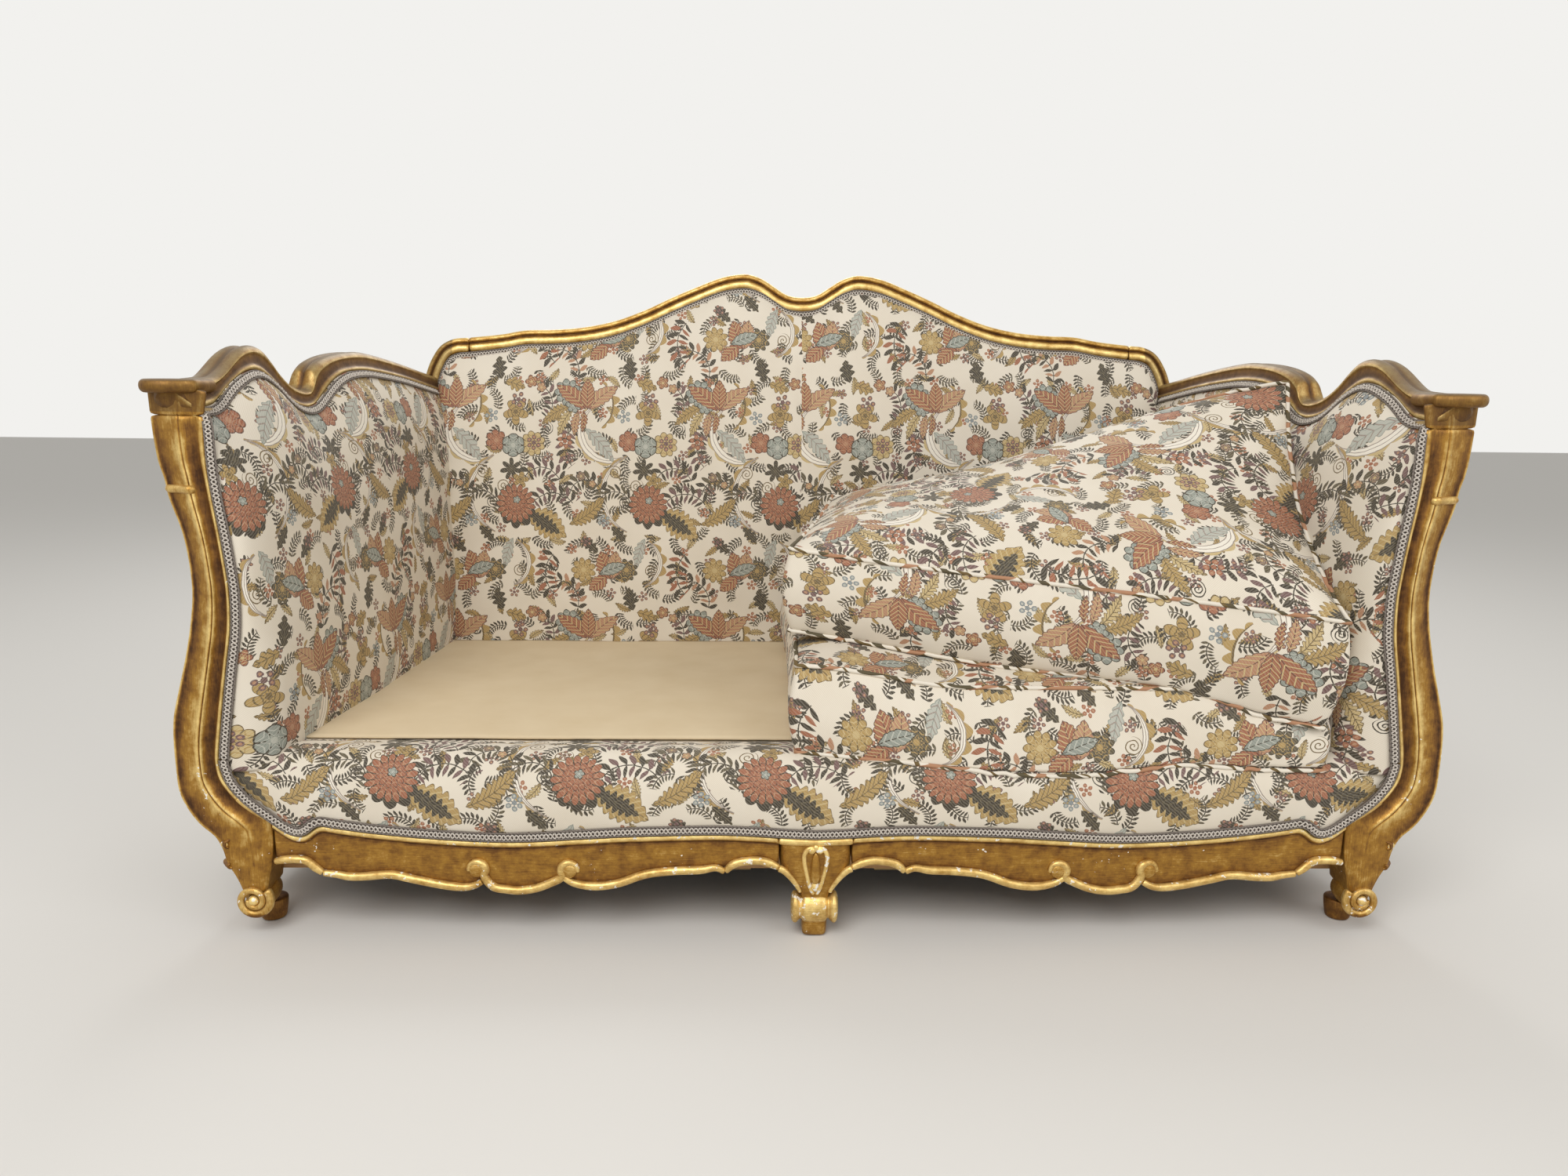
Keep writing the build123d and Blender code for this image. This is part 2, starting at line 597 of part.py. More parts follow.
with BuildPart() as inner_front_rail:
    with BuildSketch(Plane.XY.offset(FRONT_RAIL_Z[0])):
        with Locations((0, POST_BACK_Y)):
            Rectangle(ARM_X, SEAT_RAIL_DEPTH, align=(Align.MIN, Align.MIN))
    extrude(amount=FRONT_RAIL_Z[1] - FRONT_RAIL_Z[0])
    split(bisect_by=arm_plane(SIDE_INNER), keep=Keep.BOTTOM)
    mirror(about=Plane.YZ)

with BuildPart() as stretcher:
    with BuildSketch(front_plane(FRONT_RAIL_BACK_Y)):
        with Locations((0, SEAT_RAIL_Z[0])):
            Rectangle(2 * STRETCHER_HALF, STRETCHER_HEIGHT, align=(Align.CENTER, Align.MIN))
    extrude(amount=-DEPTH)
    split(bisect_by=BACK)
save(stretcher, "seat_stretcher")

# Corner blocks inside the seat frame, screwed to the front rail and the side rail
BLOCK_Z = (SEAT_RAIL_Z[0] + BLOCK_INSET, FRONT_RAIL_Z[1] - BLOCK_INSET)
BLOCK_X = ARM_X + SIDE_INNER / cos(TAPER) - (FRONT_RAIL_BACK_Y - POST_FRONT_Y) * tan(TAPER)
SCREW_Z = sum(BLOCK_Z) / 2
with BuildPart() as screws:
    with BuildSketch(front_plane(FRONT_RAIL_BACK_Y + BLOCK_SCREW)):
        with Locations((BLOCK_X - BLOCK_SCREW, SCREW_Z)):
            Circle(SCREW_RADIUS)
    extrude(amount=SCREW_LENGTH)
    with BuildSketch(Plane.YZ.offset(BLOCK_X - BLOCK_SCREW)):
        with Locations((FRONT_RAIL_BACK_Y + BLOCK_SCREW / 2, SCREW_Z + SCREW_STAGGER)):
            Circle(SCREW_RADIUS)
    extrude(amount=SCREW_LENGTH)
    mirror(about=Plane.YZ)
save(screws, "frame_screws")
with BuildPart() as corner_blocks:
    with BuildSketch(Plane.XY.offset(BLOCK_Z[0])):
        with BuildLine():
            Polyline(
                (BLOCK_X, FRONT_RAIL_BACK_Y),
                (BLOCK_X - BLOCK_LEG, FRONT_RAIL_BACK_Y),
                (BLOCK_X - BLOCK_LEG * tan(TAPER), FRONT_RAIL_BACK_Y + BLOCK_LEG),
                close=True,
            )
        make_face()
    extrude(amount=BLOCK_Z[1] - BLOCK_Z[0])
    mirror(about=Plane.YZ)
    add(screws.part, mode=Mode.SUBTRACT)
save(corner_blocks, "corner_blocks")
with BuildPart() as drilled_front_rail:
    add(inner_front_rail.part)
    add(screws.part, mode=Mode.SUBTRACT)
save(drilled_front_rail, "inner_front_rail")
with BuildPart() as drilled_side_rail:
    add(side_rail.part)
    add(screws.part, mode=Mode.SUBTRACT)
save_pair(drilled_side_rail, "seat_rail")

# Webbing under the seat, the coil springs that stand on it, and the hessian over them
WEB_Z = SEAT_RAIL_Z[0] - WEB_THICK
SEAT_REAR_Y = back_front_y(SEAT_RAIL_Z[0])
SPRING_XS = [(i - (SPRING_COLUMNS - 1) / 2) * SPRING_PITCH[0] for i in range(SPRING_COLUMNS)]
SPRING_MID_Y = (ROLL_BACK_Y + SEAT_REAR_Y) / 2 - SPRING_SHIFT
SPRING_YS = [SPRING_MID_Y + (j - (SPRING_ROWS - 1) / 2) * SPRING_PITCH[1] for j in range(SPRING_ROWS)]
with BuildPart() as cross_webbing:
    with BuildSketch(Plane.XY.offset(WEB_Z)):
        with Locations([(x, POST_BACK_Y) for x in SPRING_XS]):
            Rectangle(WEB_WIDTH, SEAT_REAR_Y - POST_BACK_Y, align=(Align.CENTER, Align.MIN))
    extrude(amount=WEB_THICK)
save(cross_webbing, "seat_webbing_cross")
with BuildPart() as long_webbing:
    with BuildSketch(Plane.XY.offset(WEB_Z - WEB_THICK)):
        with Locations([(0, y) for y in SPRING_YS]):
            Rectangle(2 * BACK_POST_X[1], WEB_WIDTH)
    extrude(amount=WEB_THICK)
save(long_webbing, "seat_webbing_long")
SPRING_Z = (SEAT_RAIL_Z[0], (SEAT_RAIL_Z[0] + HESSIAN_Z) / 2, HESSIAN_Z)


def hourglass(inset):
    """Waisted column of one spring, drawn in all round by inset."""
    with BuildPart() as column:
        for z, radius in zip(SPRING_Z, (SPRING_RADIUS, SPRING_WAIST, SPRING_RADIUS)):
            with BuildSketch(Plane.XY.offset(z)):
                RegularPolygon(radius - inset, SPRING_SIDES)
        loft(ruled=True)
    return column.part


with BuildPart() as coil:
    add(hourglass(0.0))
    add(hourglass(SPRING_WALL), mode=Mode.SUBTRACT)
with BuildPart() as springs:
    with Locations([(x, y) for x in SPRING_XS for y in SPRING_YS]):
        add(coil.part)
save(springs, "seat_springs")

# Seat deck: hessian, stuffing and the plain cloth over it
DECK_FRONT_Y = ROLL_BACK_Y + FIT_GAP
DECK_REAR_Y = back_front_y(HESSIAN_Z) - BACK_PAD_DEPTH / cos(RAKE) - 2 * FIT_GAP


def deck_plan(inset=0.0):
    """Plan of the seat deck between the arm pads."""
    front = DECK_FRONT_Y + inset
    rear = DECK_REAR_Y - inset
    with BuildSketch() as sketch:
        with BuildLine():
            Polyline(
                (pad_x(front) - FIT_GAP - inset, front),
                (pad_x(rear) - FIT_GAP - inset, rear),
                (-pad_x(rear) + FIT_GAP + inset, rear),
                (-pad_x(front) + FIT_GAP + inset, front),
                close=True,
            )
        make_face()
    return sketch.sketch


def deck_form(drop):
    """Crowned deck whose top lies drop below the finished seat."""
    with BuildPart() as form:
        for z, inset in (
            (HESSIAN_Z + WEB_THICK, 0.0),
            (DECK_Z - drop, 0.0),
            (DECK_Z + DECK_CROWN - drop, DECK_CROWN_INSET),
        ):
            with BuildSketch(Plane.XY.offset(z)):
                add(deck_plan(inset))
        loft(ruled=True)
    return form


with BuildPart() as hessian:
    with BuildSketch(Plane.XY.offset(HESSIAN_Z)):
        add(deck_plan())
    extrude(amount=WEB_THICK)
save(hessian, "spring_hessian")
stuffing = deck_form(COVER_THICK)
save(stuffing, "seat_stuffing")
with BuildPart() as deck_cloth:
    add(deck_form(0.0).part)
    add(stuffing.part, mode=Mode.SUBTRACT)
save(deck_cloth, "deck_cloth")
with BuildPart() as dust_cover:
    with BuildSketch(Plane.XY.offset(WEB_Z - WEB_THICK - COVER_THICK)):
        with Locations((0, (FRONT_RAIL_BACK_Y + SEAT_REAR_Y) / 2)):
            Rectangle(2 * BACK_POST_X[1], SEAT_REAR_Y - FRONT_RAIL_BACK_Y)
    extrude(amount=COVER_THICK)
save(dust_cover, "dust_cover")

# Gimp braid over the edges of the cloth
with BuildPart() as front_gimp:
    with BuildSketch(front_plane(CAP_FRONT_Y)):
        add(strip(RAIL_TOP, up=GIMP_WIDTH))
    extrude(amount=-DEPTH / 2)
    with BuildSketch(Plane.XY):
        add(bowed_slab(-ROLL_SET_BACK + GIMP_THICK))
        add(bowed_slab(-ROLL_SET_BACK), mode=Mode.SUBTRACT)
    extrude(amount=HEIGHT, mode=Mode.INTERSECT)
    mirror(about=Plane.YZ)
    with BuildSketch(front_plane(RAIL_END_Y - RAIL_BOW + ROLL_SET_BACK - GIMP_THICK)):
        with Locations((0, RAIL_TOP_Z)):
            Rectangle(2 * CENTRE_HALF, GIMP_WIDTH, align=(Align.CENTER, Align.MIN))
    extrude(amount=-GIMP_THICK)
save(front_gimp, "front_gimp")
NOSE_FRONT_Y = POST_FRONT_Y + NOSE_SET_BACK
with BuildPart() as arm_gimp:
    with BuildSketch(front_plane(NOSE_FRONT_Y)):
        add(strip(moved(POST_INNER, -FIT_GAP), across=-GIMP_WIDTH))
    extrude(amount=GIMP_THICK)
    split(bisect_by=Plane.XY.offset(ROLL_TOP_Z))
    with BuildSketch(arm_plane(SIDE_INNER)):
        add(strip(moved(ARM_FRONT_WAVE, 0, -ARM_RAIL_HEIGHT), up=-GIMP_WIDTH))
        add(strip(moved(ARM_REAR_WAVE, 0, -ARM_RAIL_HEIGHT), up=-GIMP_WIDTH))
    extrude(amount=-GIMP_THICK)
    split(bisect_by=BACK)
    add(arm_rail.part, mode=Mode.SUBTRACT)
save_pair(arm_gimp, "arm_gimp")
with BuildPart() as back_gimp:
    with BuildSketch(BACK.offset(-GIMP_THICK / 2)):
        add(strip(moved(CREST_TOP, 0, -CREST_HEIGHT), up=-GIMP_WIDTH))
    extrude(amount=GIMP_THICK)
save(back_gimp, "back_gimp")

# Front roll of the seat, swelling over the rail between the posts
def roll_front_y(x):
    """Depth of the bowed front at the given place across the sofa."""
    return RAIL_END_Y - RAIL_BOW * (1 - (x / HALF_WIDTH) ** 2)


with BuildPart() as front_roll:
    for x in (0.0, HALF_WIDTH / 2, HALF_WIDTH):
        front = roll_front_y(x)
        rear_top = (ROLL_BACK_Y, ROLL_TOP_Z - ROLL_REAR_DROP)
        brow = (front + ROLL_BROW[0], ROLL_TOP_Z - ROLL_BROW[1])
        foot = (front + ROLL_SET_BACK, FRONT_RAIL_Z[1])
        with BuildSketch(Plane.YZ.offset(x)):
            with BuildLine():
                Line((ROLL_BACK_Y, FRONT_RAIL_Z[1]), rear_top)
                ThreePointArc(rear_top, (front + ROLL_CROWN, ROLL_TOP_Z), brow)
                ThreePointArc(brow, (front - ROLL_PROUD, (ROLL_TOP_Z + RAIL_TOP_Z) / 2), foot)
                Line(foot, (ROLL_BACK_Y, FRONT_RAIL_Z[1]))
            make_face()
    loft()
    with BuildSketch(front_plane(CAP_FRONT_Y)):
        with BuildLine():
            Line((0, RAIL_TOP_Z), RAIL_TOP[0])
            Spline(*RAIL_TOP)
            Line(RAIL_TOP[-1], (HALF_WIDTH, RAIL_JOINT_Z[1]))
            Line((HALF_WIDTH, RAIL_JOINT_Z[1]), (HALF_WIDTH, ROLL_TOP_Z))
            Line((HALF_WIDTH, ROLL_TOP_Z), (0, ROLL_TOP_Z))
            Line((0, ROLL_TOP_Z), (0, RAIL_TOP_Z))
        make_face()
    extrude(amount=-DEPTH / 2, mode=Mode.INTERSECT)
    with BuildSketch(front_plane(CAP_FRONT_Y)):
        with BuildLine():
            Spline(*POST_INNER)
            Polyline(
                POST_INNER[-1],
                (HALF_WIDTH, POST_TOP[0]),
                (HALF_WIDTH, 0),
                (RAIL_JOINT_X, 0),
                POST_INNER[0],
            )
        make_face()
    extrude(amount=-DEPTH / 2, mode=Mode.SUBTRACT)
    mirror(about=Plane.YZ)
    add(front_gimp.part, mode=Mode.SUBTRACT)
save(front_roll, "front_roll")


# Inside arm pads: a rounded nose beside the post, and a tapering slab along the arm
def arm_face(drop, low):
    """Side view of the arm's filling, under its waved rail."""
    rear = moved(ARM_REAR_WAVE, 0, -ARM_RAIL_HEIGHT - drop)
    front = moved(ARM_FRONT_WAVE, 0, -ARM_RAIL_HEIGHT - drop)
    lead = front[0][0] - POST_DEPTH / 2
    with BuildSketch() as sketch:
        with BuildLine():
            Polyline(front[0], (lead, front[0][1]), (lead, low), (rear[-1][0], low), rear[-1])
            Spline(*rear)
            Spline(*front)
        make_face()
    return sketch.sketch


def pad_plane(share):
    """Plane between the frame's inner face, at 0, and the arm pad's inner face, at 1."""
    outer = Vector(ARM_X, POST_FRONT_Y, 0) + Vector(*ARM_OUT) * (SIDE_INNER + TACK_RAIL_INSET)
    outer_rear = outer + Vector(*ARM_ALONG) * ARM_LENGTH
    inner = Vector(PAD_FRONT_X, POST_FRONT_Y, 0)
    inner_rear = Vector(pad_x(outer_rear.Y), outer_rear.Y, 0)
    start = outer + (inner - outer) * share
    along = outer_rear + (inner_rear - outer_rear) * share - start
    return Plane(origin=start, x_dir=along, z_dir=Vector(along.Y, -along.X, 0))


with BuildPart() as arm_pad:
    for share, drop in ARM_PAD_SHAPE:
        with BuildSketch(pad_plane(share)):
            add(arm_face(drop, SEAT_RAIL_Z[1]))
    loft(ruled=True)
    split(bisect_by=front_plane(POST_BACK_Y), keep=Keep.BOTTOM)
    split(bisect_by=BACK)
    nose_x = pad_x(POST_BACK_Y)
    nose_outer = moved(POST_INNER, -FIT_GAP)
    with BuildSketch(front_plane(NOSE_FRONT_Y)):
        with BuildLine():
            Spline(*nose_outer)
            Polyline(nose_outer[-1], (nose_x, POST_TOP[0]), (nose_x, RAIL_JOINT_Z[1]), nose_outer[0])
        make_face()
    extrude(amount=NOSE_FRONT_Y - POST_BACK_Y)
    split(bisect_by=Plane.XY.offset(ROLL_TOP_Z))
    upright = arm_pad.edges().filter_by(Axis.Z)
    fillet(upright.group_by(Axis.Y)[0].sort_by(Axis.X)[0], NOSE_RADIUS)
    add(arm_gimp.part, mode=Mode.SUBTRACT)
save_pair(arm_pad, "inside_arm_pad")
with BuildPart() as arm_panel:
    with BuildSketch(arm_plane(SIDE_INNER + SIDE_BREADTH)):
        add(arm_face(0.0, SEAT_RAIL_Z[0]))
    extrude(amount=PANEL_THICK)
    split(bisect_by=front_plane(POST_BACK_Y), keep=Keep.BOTTOM)
    split(bisect_by=BACK)
save_pair(arm_panel, "outside_arm_panel")

# Inside back pad on its webbing, and the panel that closes the back
BACK_WEB_TOP = CREST_END[0] - CREST_HEIGHT - GIMP_WIDTH
with BuildPart() as back_webbing:
    with BuildSketch(BACK.offset(BACK_FRAME_FRONT)):
        with Locations([(x, TACK_RAIL_Z[0]) for x in SPRING_XS]):
            Rectangle(WEB_WIDTH, BACK_WEB_TOP - TACK_RAIL_Z[0], align=(Align.CENTER, Align.MIN))
    extrude(amount=WEB_THICK)
    with BuildSketch(BACK.offset(BACK_FRAME_FRONT + WEB_THICK)):
        with Locations([(0, TACK_RAIL_Z[1] + (i + 1) * BACK_WEB_PITCH) for i in range(BACK_WEB_ROWS)]):
            Rectangle(2 * BACK_POST_X[0], WEB_WIDTH)
    extrude(amount=WEB_THICK)
save(back_webbing, "back_webbing")
with BuildPart() as back_pad:
    half = pad_x(back_front_y(HEIGHT)) - FIT_GAP
    wing = CORNER_LOW[-1][0] - FIT_GAP
    for front, drop, pull in BACK_PAD_SHAPE:
        squeeze = 1 - pull / half
        reach = squeeze * (half / wing if front else 1.0)
        top = [(x * squeeze, z - FIT_GAP - drop) for x, z in CREST_LOW]
        corner = [(x * reach - FIT_GAP, z - FIT_GAP - drop) for x, z in CORNER_LOW]
        corner[0] = top[-1]
        arm_z = corner[-1][1] - PAD_SHOULDER
        with BuildSketch(BACK.offset(BACK_WEB_FRONT + front)):
            with BuildLine():
                Spline(*top)
                Spline(*corner)
                Spline(*[(-x, z) for x, z in corner])
                Polyline(
                    corner[-1],
                    (half * squeeze, arm_z),
                    (half * squeeze, HESSIAN_Z),
                    (-half * squeeze, HESSIAN_Z),
                    (-half * squeeze, arm_z),
                    (-corner[-1][0], corner[-1][1]),
                )
            make_face()
    loft(ruled=True)
    add(back_gimp.part, mode=Mode.SUBTRACT)
save(back_pad, "inside_back_pad")
with BuildPart() as back_panel:
    top = moved(CREST_LOW, 0, -FIT_GAP)
    corner = moved(CORNER_LOW, -FIT_GAP, -FIT_GAP)
    corner[0] = top[-1]
    low = SEAT_RAIL_Z[1] / cos(RAKE)
    with BuildSketch(BACK.offset(-CREST_DEPTH + PANEL_THICK)):
        with BuildLine():
            Spline(*top)
            Spline(*corner)
            Spline(*[(-x, z) for x, z in corner])
            Polyline(
                corner[-1],
                (corner[-1][0], low),
                (-corner[-1][0], low),
                (-corner[-1][0], corner[-1][1]),
            )
        make_face()
    extrude(amount=-PANEL_THICK)
save(back_panel, "outside_back_panel")


# Loose cushions: sections across the width, drawn in at both ends and crowned in the middle
def cushion(stations, inset):
    """Filled cushion through its stations, shrunk all round by inset.

    Each station holds the front lower corner, the turn about Z, the backward tilt, depth, height and crown.
    A tilted station keeps its boxing upright, because the filling gives way.
    """
    with BuildPart() as form:
        last = len(stations) - 1
        for number, (corner, turn, tilt, depth, height, crown) in enumerate(stations):
            out = Vector(cos(turn), sin(turn), 0)
            along = Vector(-sin(turn) * cos(tilt), cos(turn) * cos(tilt), sin(tilt))
            end = (number == 0) - (number == last)
            pull = inset + (CUSHION_END_PULL if end else 0.0)
            plane = Plane(origin=Vector(*corner) + out * (end * inset), x_dir=along, z_dir=out)
            low = inset if not end else pull
            lean = sin(tilt)
            rise = cos(tilt)
            top = height - pull
            middle = height / 2
            with BuildSketch(plane):
                with BuildLine():
                    Line((pull, low), (depth - pull, low))
                    ThreePointArc(
                        (depth - pull, low),
                        (depth - pull + middle * lean + CUSHION_BULGE, middle * rise),
                        (depth - pull + top * lean, top * rise),
                    )
                    ThreePointArc(
                        (depth - pull + top * lean, top * rise),
                        (depth / 2 + top * lean, top * rise + crown),
                        (pull + top * lean, top * rise),
                    )
                    ThreePointArc(
                        (pull + top * lean, top * rise),
                        (pull + middle * lean - CUSHION_BULGE, middle * rise),
                        (pull, low),
                    )
                make_face()
        loft(ruled=True)
    return form.part


CUSHION_DEPTH = DECK_REAR_Y - LOWER_FRONT_Y - CUSHION_REAR_GAP


def blend(first, second, share):
    """Value between two values."""
    return first + (second - first) * share


def lower_stations():
    """Stations of the lower cushion, squashed towards the right arm."""
    floor_z = DECK_Z + DECK_CROWN + FIT_GAP
    right_x = pad_x(LOWER_FRONT_Y) - CUSHION_SIDE_GAP
    rows = []
    for share in CUSHION_SHARES:
        swell = sin(radians(180 * share))
        rows.append((
            (blend(LOWER_LEFT_X, right_x, share), LOWER_FRONT_Y, floor_z),
            radians(ARM_PAD_TURN) * share,
            0.0,
            CUSHION_DEPTH,
            CUSHION_HEIGHT - LOWER_SQUASH * share,
            CUSHION_CROWN * swell + CUSHION_BULGE,
        ))
    return rows


def upper_stations():
    """Stations of the upper cushion, turned on the seat and climbing the right arm."""
    rows = []
    for share in CUSHION_SHARES:
        swell = sin(radians(180 * share))
        rows.append((
            (
                blend(UPPER_LEFT_X, HALF_WIDTH - UPPER_RIGHT_INSET, share),
                POST_FRONT_Y + blend(*UPPER_SET_BACK, share),
                blend(*UPPER_CORNER_Z, share),
            ),
            radians(ARM_PAD_TURN) * share,
            radians(blend(*UPPER_TILT, share**UPPER_CURL)),
            CUSHION_DEPTH - blend(*UPPER_SHORT, share),
            blend(*UPPER_HEIGHT, share),
            CUSHION_CROWN * swell + CUSHION_BULGE,
        ))
    return rows


with BuildPart() as lower_cover:
    add(cushion(lower_stations(), 0.0))
    add(cushion(lower_stations(), CUSHION_COVER), mode=Mode.SUBTRACT)
save(lower_cover, "lower_cushion_cover")
with BuildPart() as lower_core:
    add(cushion(lower_stations(), CUSHION_COVER + FIT_GAP))
save(lower_core, "lower_cushion_core")
with BuildPart() as upper_hollow:
    add(cushion(upper_stations(), CUSHION_COVER))
    add(cushion(lower_stations(), -CUSHION_COVER - 2 * FIT_GAP), mode=Mode.SUBTRACT)
with BuildPart() as upper_cover:
    add(cushion(upper_stations(), 0.0))
    add(cushion(lower_stations(), -2 * FIT_GAP), mode=Mode.SUBTRACT)
    add(upper_hollow.part, mode=Mode.SUBTRACT)
save(upper_cover, "upper_cushion_cover")
with BuildPart() as upper_core:
    add(cushion(upper_stations(), CUSHION_COVER + FIT_GAP))
    add(cushion(lower_stations(), -CUSHION_COVER - 3 * FIT_GAP), mode=Mode.SUBTRACT)
save(upper_core, "upper_cushion_core")
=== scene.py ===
"""Looks of a carved giltwood sofa in floral brocade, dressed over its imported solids.

All sizes are metres in the frame of the solids: +Z is up, the sofa faces -Y and +X is its right-hand
side in the photograph. Right-hand pieces are modelled once and mirrored for the left.
"""

import logging
import math
from bisect import bisect_right
from collections.abc import Callable, Sequence
from dataclasses import dataclass, field
from enum import Enum
from functools import partialmethod
from itertools import accumulate

import bmesh
import bpy
from bmesh.types import BMesh, BMVert
from bpy.types import ID, Material, Node, NodeSocket, NodeTree, Object
from mathutils import Matrix, Vector, noise
from mathutils.bvhtree import BVHTree
from mathutils.geometry import interpolate_bezier


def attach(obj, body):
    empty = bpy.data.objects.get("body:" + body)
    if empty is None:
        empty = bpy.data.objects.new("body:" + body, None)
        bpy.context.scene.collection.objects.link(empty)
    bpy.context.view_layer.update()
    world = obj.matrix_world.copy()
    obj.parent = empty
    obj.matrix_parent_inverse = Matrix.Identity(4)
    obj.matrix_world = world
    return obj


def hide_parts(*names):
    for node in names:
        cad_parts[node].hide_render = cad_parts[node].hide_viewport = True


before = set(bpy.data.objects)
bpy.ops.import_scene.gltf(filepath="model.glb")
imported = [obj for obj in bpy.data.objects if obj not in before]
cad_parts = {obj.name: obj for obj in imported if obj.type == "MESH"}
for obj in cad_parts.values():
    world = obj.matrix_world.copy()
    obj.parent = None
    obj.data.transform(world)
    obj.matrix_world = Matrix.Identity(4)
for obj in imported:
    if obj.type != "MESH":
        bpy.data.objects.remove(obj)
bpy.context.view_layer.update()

LOG = logging.getLogger("sofa")
MM = 0.001
# How worn each point is; the same value paints a highlight on edges and shade in hollows.
WEAR_AND_SHADE = "wear_and_shade"
CLOTH_MAP = "cloth"
CURVE_STEPS = 9
WAVE_SCALE = 0.314
NO_FOLD = 180.0
GILT_FOLD = 60.0
TINY = 1e-4
FRAME = "frame"
FORWARD = Vector((0, -1, 0))
UP = Vector((0, 0, 1))
RIGHT = Vector((1, 0, 0))

Section = Sequence[tuple[float, float, float]]
Surface = Callable[[float, float], tuple[Vector, float, float]]


class Side(Enum):
    """The hand of a piece that comes in pairs."""

    LEFT = "left"
    RIGHT = "right"


# Curves

def through(points: Sequence[Sequence[float]], steps: int = CURVE_STEPS) -> list[Vector]:
    """Draw a smooth curve through a few points.

    Args:
        points: Points of two or three coordinates.
        steps: Points on each stretch between two of them.

    Returns:
        The points of the curve, three coordinates each.
    """
    knots = [Vector(point).to_3d() for point in points]
    curve = [knots[0]]
    for i, (start, end) in enumerate(zip(knots, knots[1:])):
        before = knots[max(i - 1, 0)]
        after = knots[min(i + 2, len(knots) - 1)]
        reach = (end - start).length / 3
        leave = start + (end - before).normalized() * reach
        arrive = end - (after - start).normalized() * reach
        curve += interpolate_bezier(start, leave, arrive, end, steps + 1)[1:]
    return curve


def evenly(points: Sequence[Vector], spacing: float) -> list[Vector]:
    """Place points at even distances along a line.

    Args:
        points: The corners of the line.
        spacing: About how far apart the new points are.

    Returns:
        The new points, both ends included.
    """
    lengths = list(accumulate([0.0] + [(b - a).length for a, b in zip(points, points[1:])]))
    count = max(1, round(lengths[-1] / spacing))
    placed = []
    for k in range(count + 1):
        goal = lengths[-1] * k / count
        i = min(bisect_right(lengths, goal) - 1, len(points) - 2)
        span = lengths[i + 1] - lengths[i]
        placed.append(points[i].lerp(points[i + 1], (goal - lengths[i]) / span if span else 0.0))
    return placed


def heading(path: Sequence[Vector], i: int) -> Vector:
    """Return the way that a path runs at one of its points."""
    return (path[min(i + 1, len(path) - 1)] - path[max(i - 1, 0)]).normalized()


def part_way(path: Sequence[Vector], share: float) -> Vector:
    """Return the point at a share of an evenly stepped path.

    Args:
        path: Points of the path.
        share: How far along, from 0 to 1.

    Returns:
        The point.
    """
    place = share * (len(path) - 1)
    i = min(int(place), len(path) - 2)
    return path[i].lerp(path[i + 1], place - i)


def between(ends: tuple[float, float], share: float) -> float:
    """Return the number at a share of the way from one to another."""
    return ends[0] + (ends[1] - ends[0]) * share


class Graph:
    """A smooth curve with one height for each place, drawn through a few points."""

    def __init__(self, *points: tuple[float, float]) -> None:
        """Keep the curve's points in the order of their places.

        Args:
            points: Pairs of a place and a height.
        """
        curve = sorted((point.x, point.y) for point in through(points))
        self.places = [place for place, _ in curve]
        self.heights = [height for _, height in curve]

    def __call__(self, place: float) -> float:
        """Return the height at a place, held at the ends.

        Args:
            place: The place.

        Returns:
            The height.
        """
        i = min(max(bisect_right(self.places, place) - 1, 0), len(self.places) - 2)
        span = self.places[i + 1] - self.places[i]
        share = min(max((place - self.places[i]) / span, 0.0), 1.0) if span else 0.0
        return self.heights[i] + share * (self.heights[i + 1] - self.heights[i])


def ease(share: float) -> float:
    """Return a share of 0 to 1 with a slow start and a slow end."""
    share = min(max(share, 0.0), 1.0)
    return share * share * (3 - 2 * share)


# Meshes

def new_mesh() -> BMesh:
    """Return an empty mesh that keeps a cloth map and, for each point, how worn it is together with a painted
    highlight on edges and painted shade in hollows.

    Returns:
        The mesh.
    """
    bm = bmesh.new()
    bm.verts.layers.float.new(WEAR_AND_SHADE)
    bm.loops.layers.uv.new(CLOTH_MAP)
    return bm


def loft(bm: BMesh, rings: Sequence[Sequence[Vector]], wear_and_shade: Sequence[float] = (),
         looped: bool = False, fade: Sequence[float] = ()) -> None:
    """Draw a closed section along a piece: a grid is laid over the rings and its two sides are welded.

    Args:
        bm: The mesh that gets the new faces.
        rings: Places of the section's points, one list for each station.
        wear_and_shade: How worn each point of the section is, from -1 in a hollow to 1 on an edge; the same
            value paints shade in the hollow and a highlight on the edge.
        looped: Whether the last ring meets the first, so that there are no ends to cap.
        fade: How much of the worn look, with its painted highlight and shade, each ring keeps, if not all of
            it.
    """
    layer = bm.verts.layers.float[WEAR_AND_SHADE]
    rings = [*rings, rings[0]] if looped else rings
    count = len(rings[0])
    verts = bmesh.ops.create_grid(bm, x_segments=count, y_segments=len(rings) - 1, size=0.5)["verts"]
    rows = [verts[k:k + count + 1] for k in range(0, len(verts), count + 1)]
    for i, (row, ring) in enumerate(zip(rows, rings)):
        for k, vert in enumerate(row):
            vert.co = ring[k % count]
            vert[layer] = (wear_and_shade[k % count] if wear_and_shade else 0.0) * (fade[i] if fade else 1.0)
    if not looped:
        bm.faces.new(rows[0][:count])
        bm.faces.new(rows[-1][:count])
    joins = {row[count]: row[0] for row in rows}
    if looped:
        joins.update(zip(rows[-1], rows[0][:count] + rows[0][:1]))
        joins[rows[0][count]] = rows[0][0]
    bmesh.ops.weld_verts(bm, targetmap=joins)


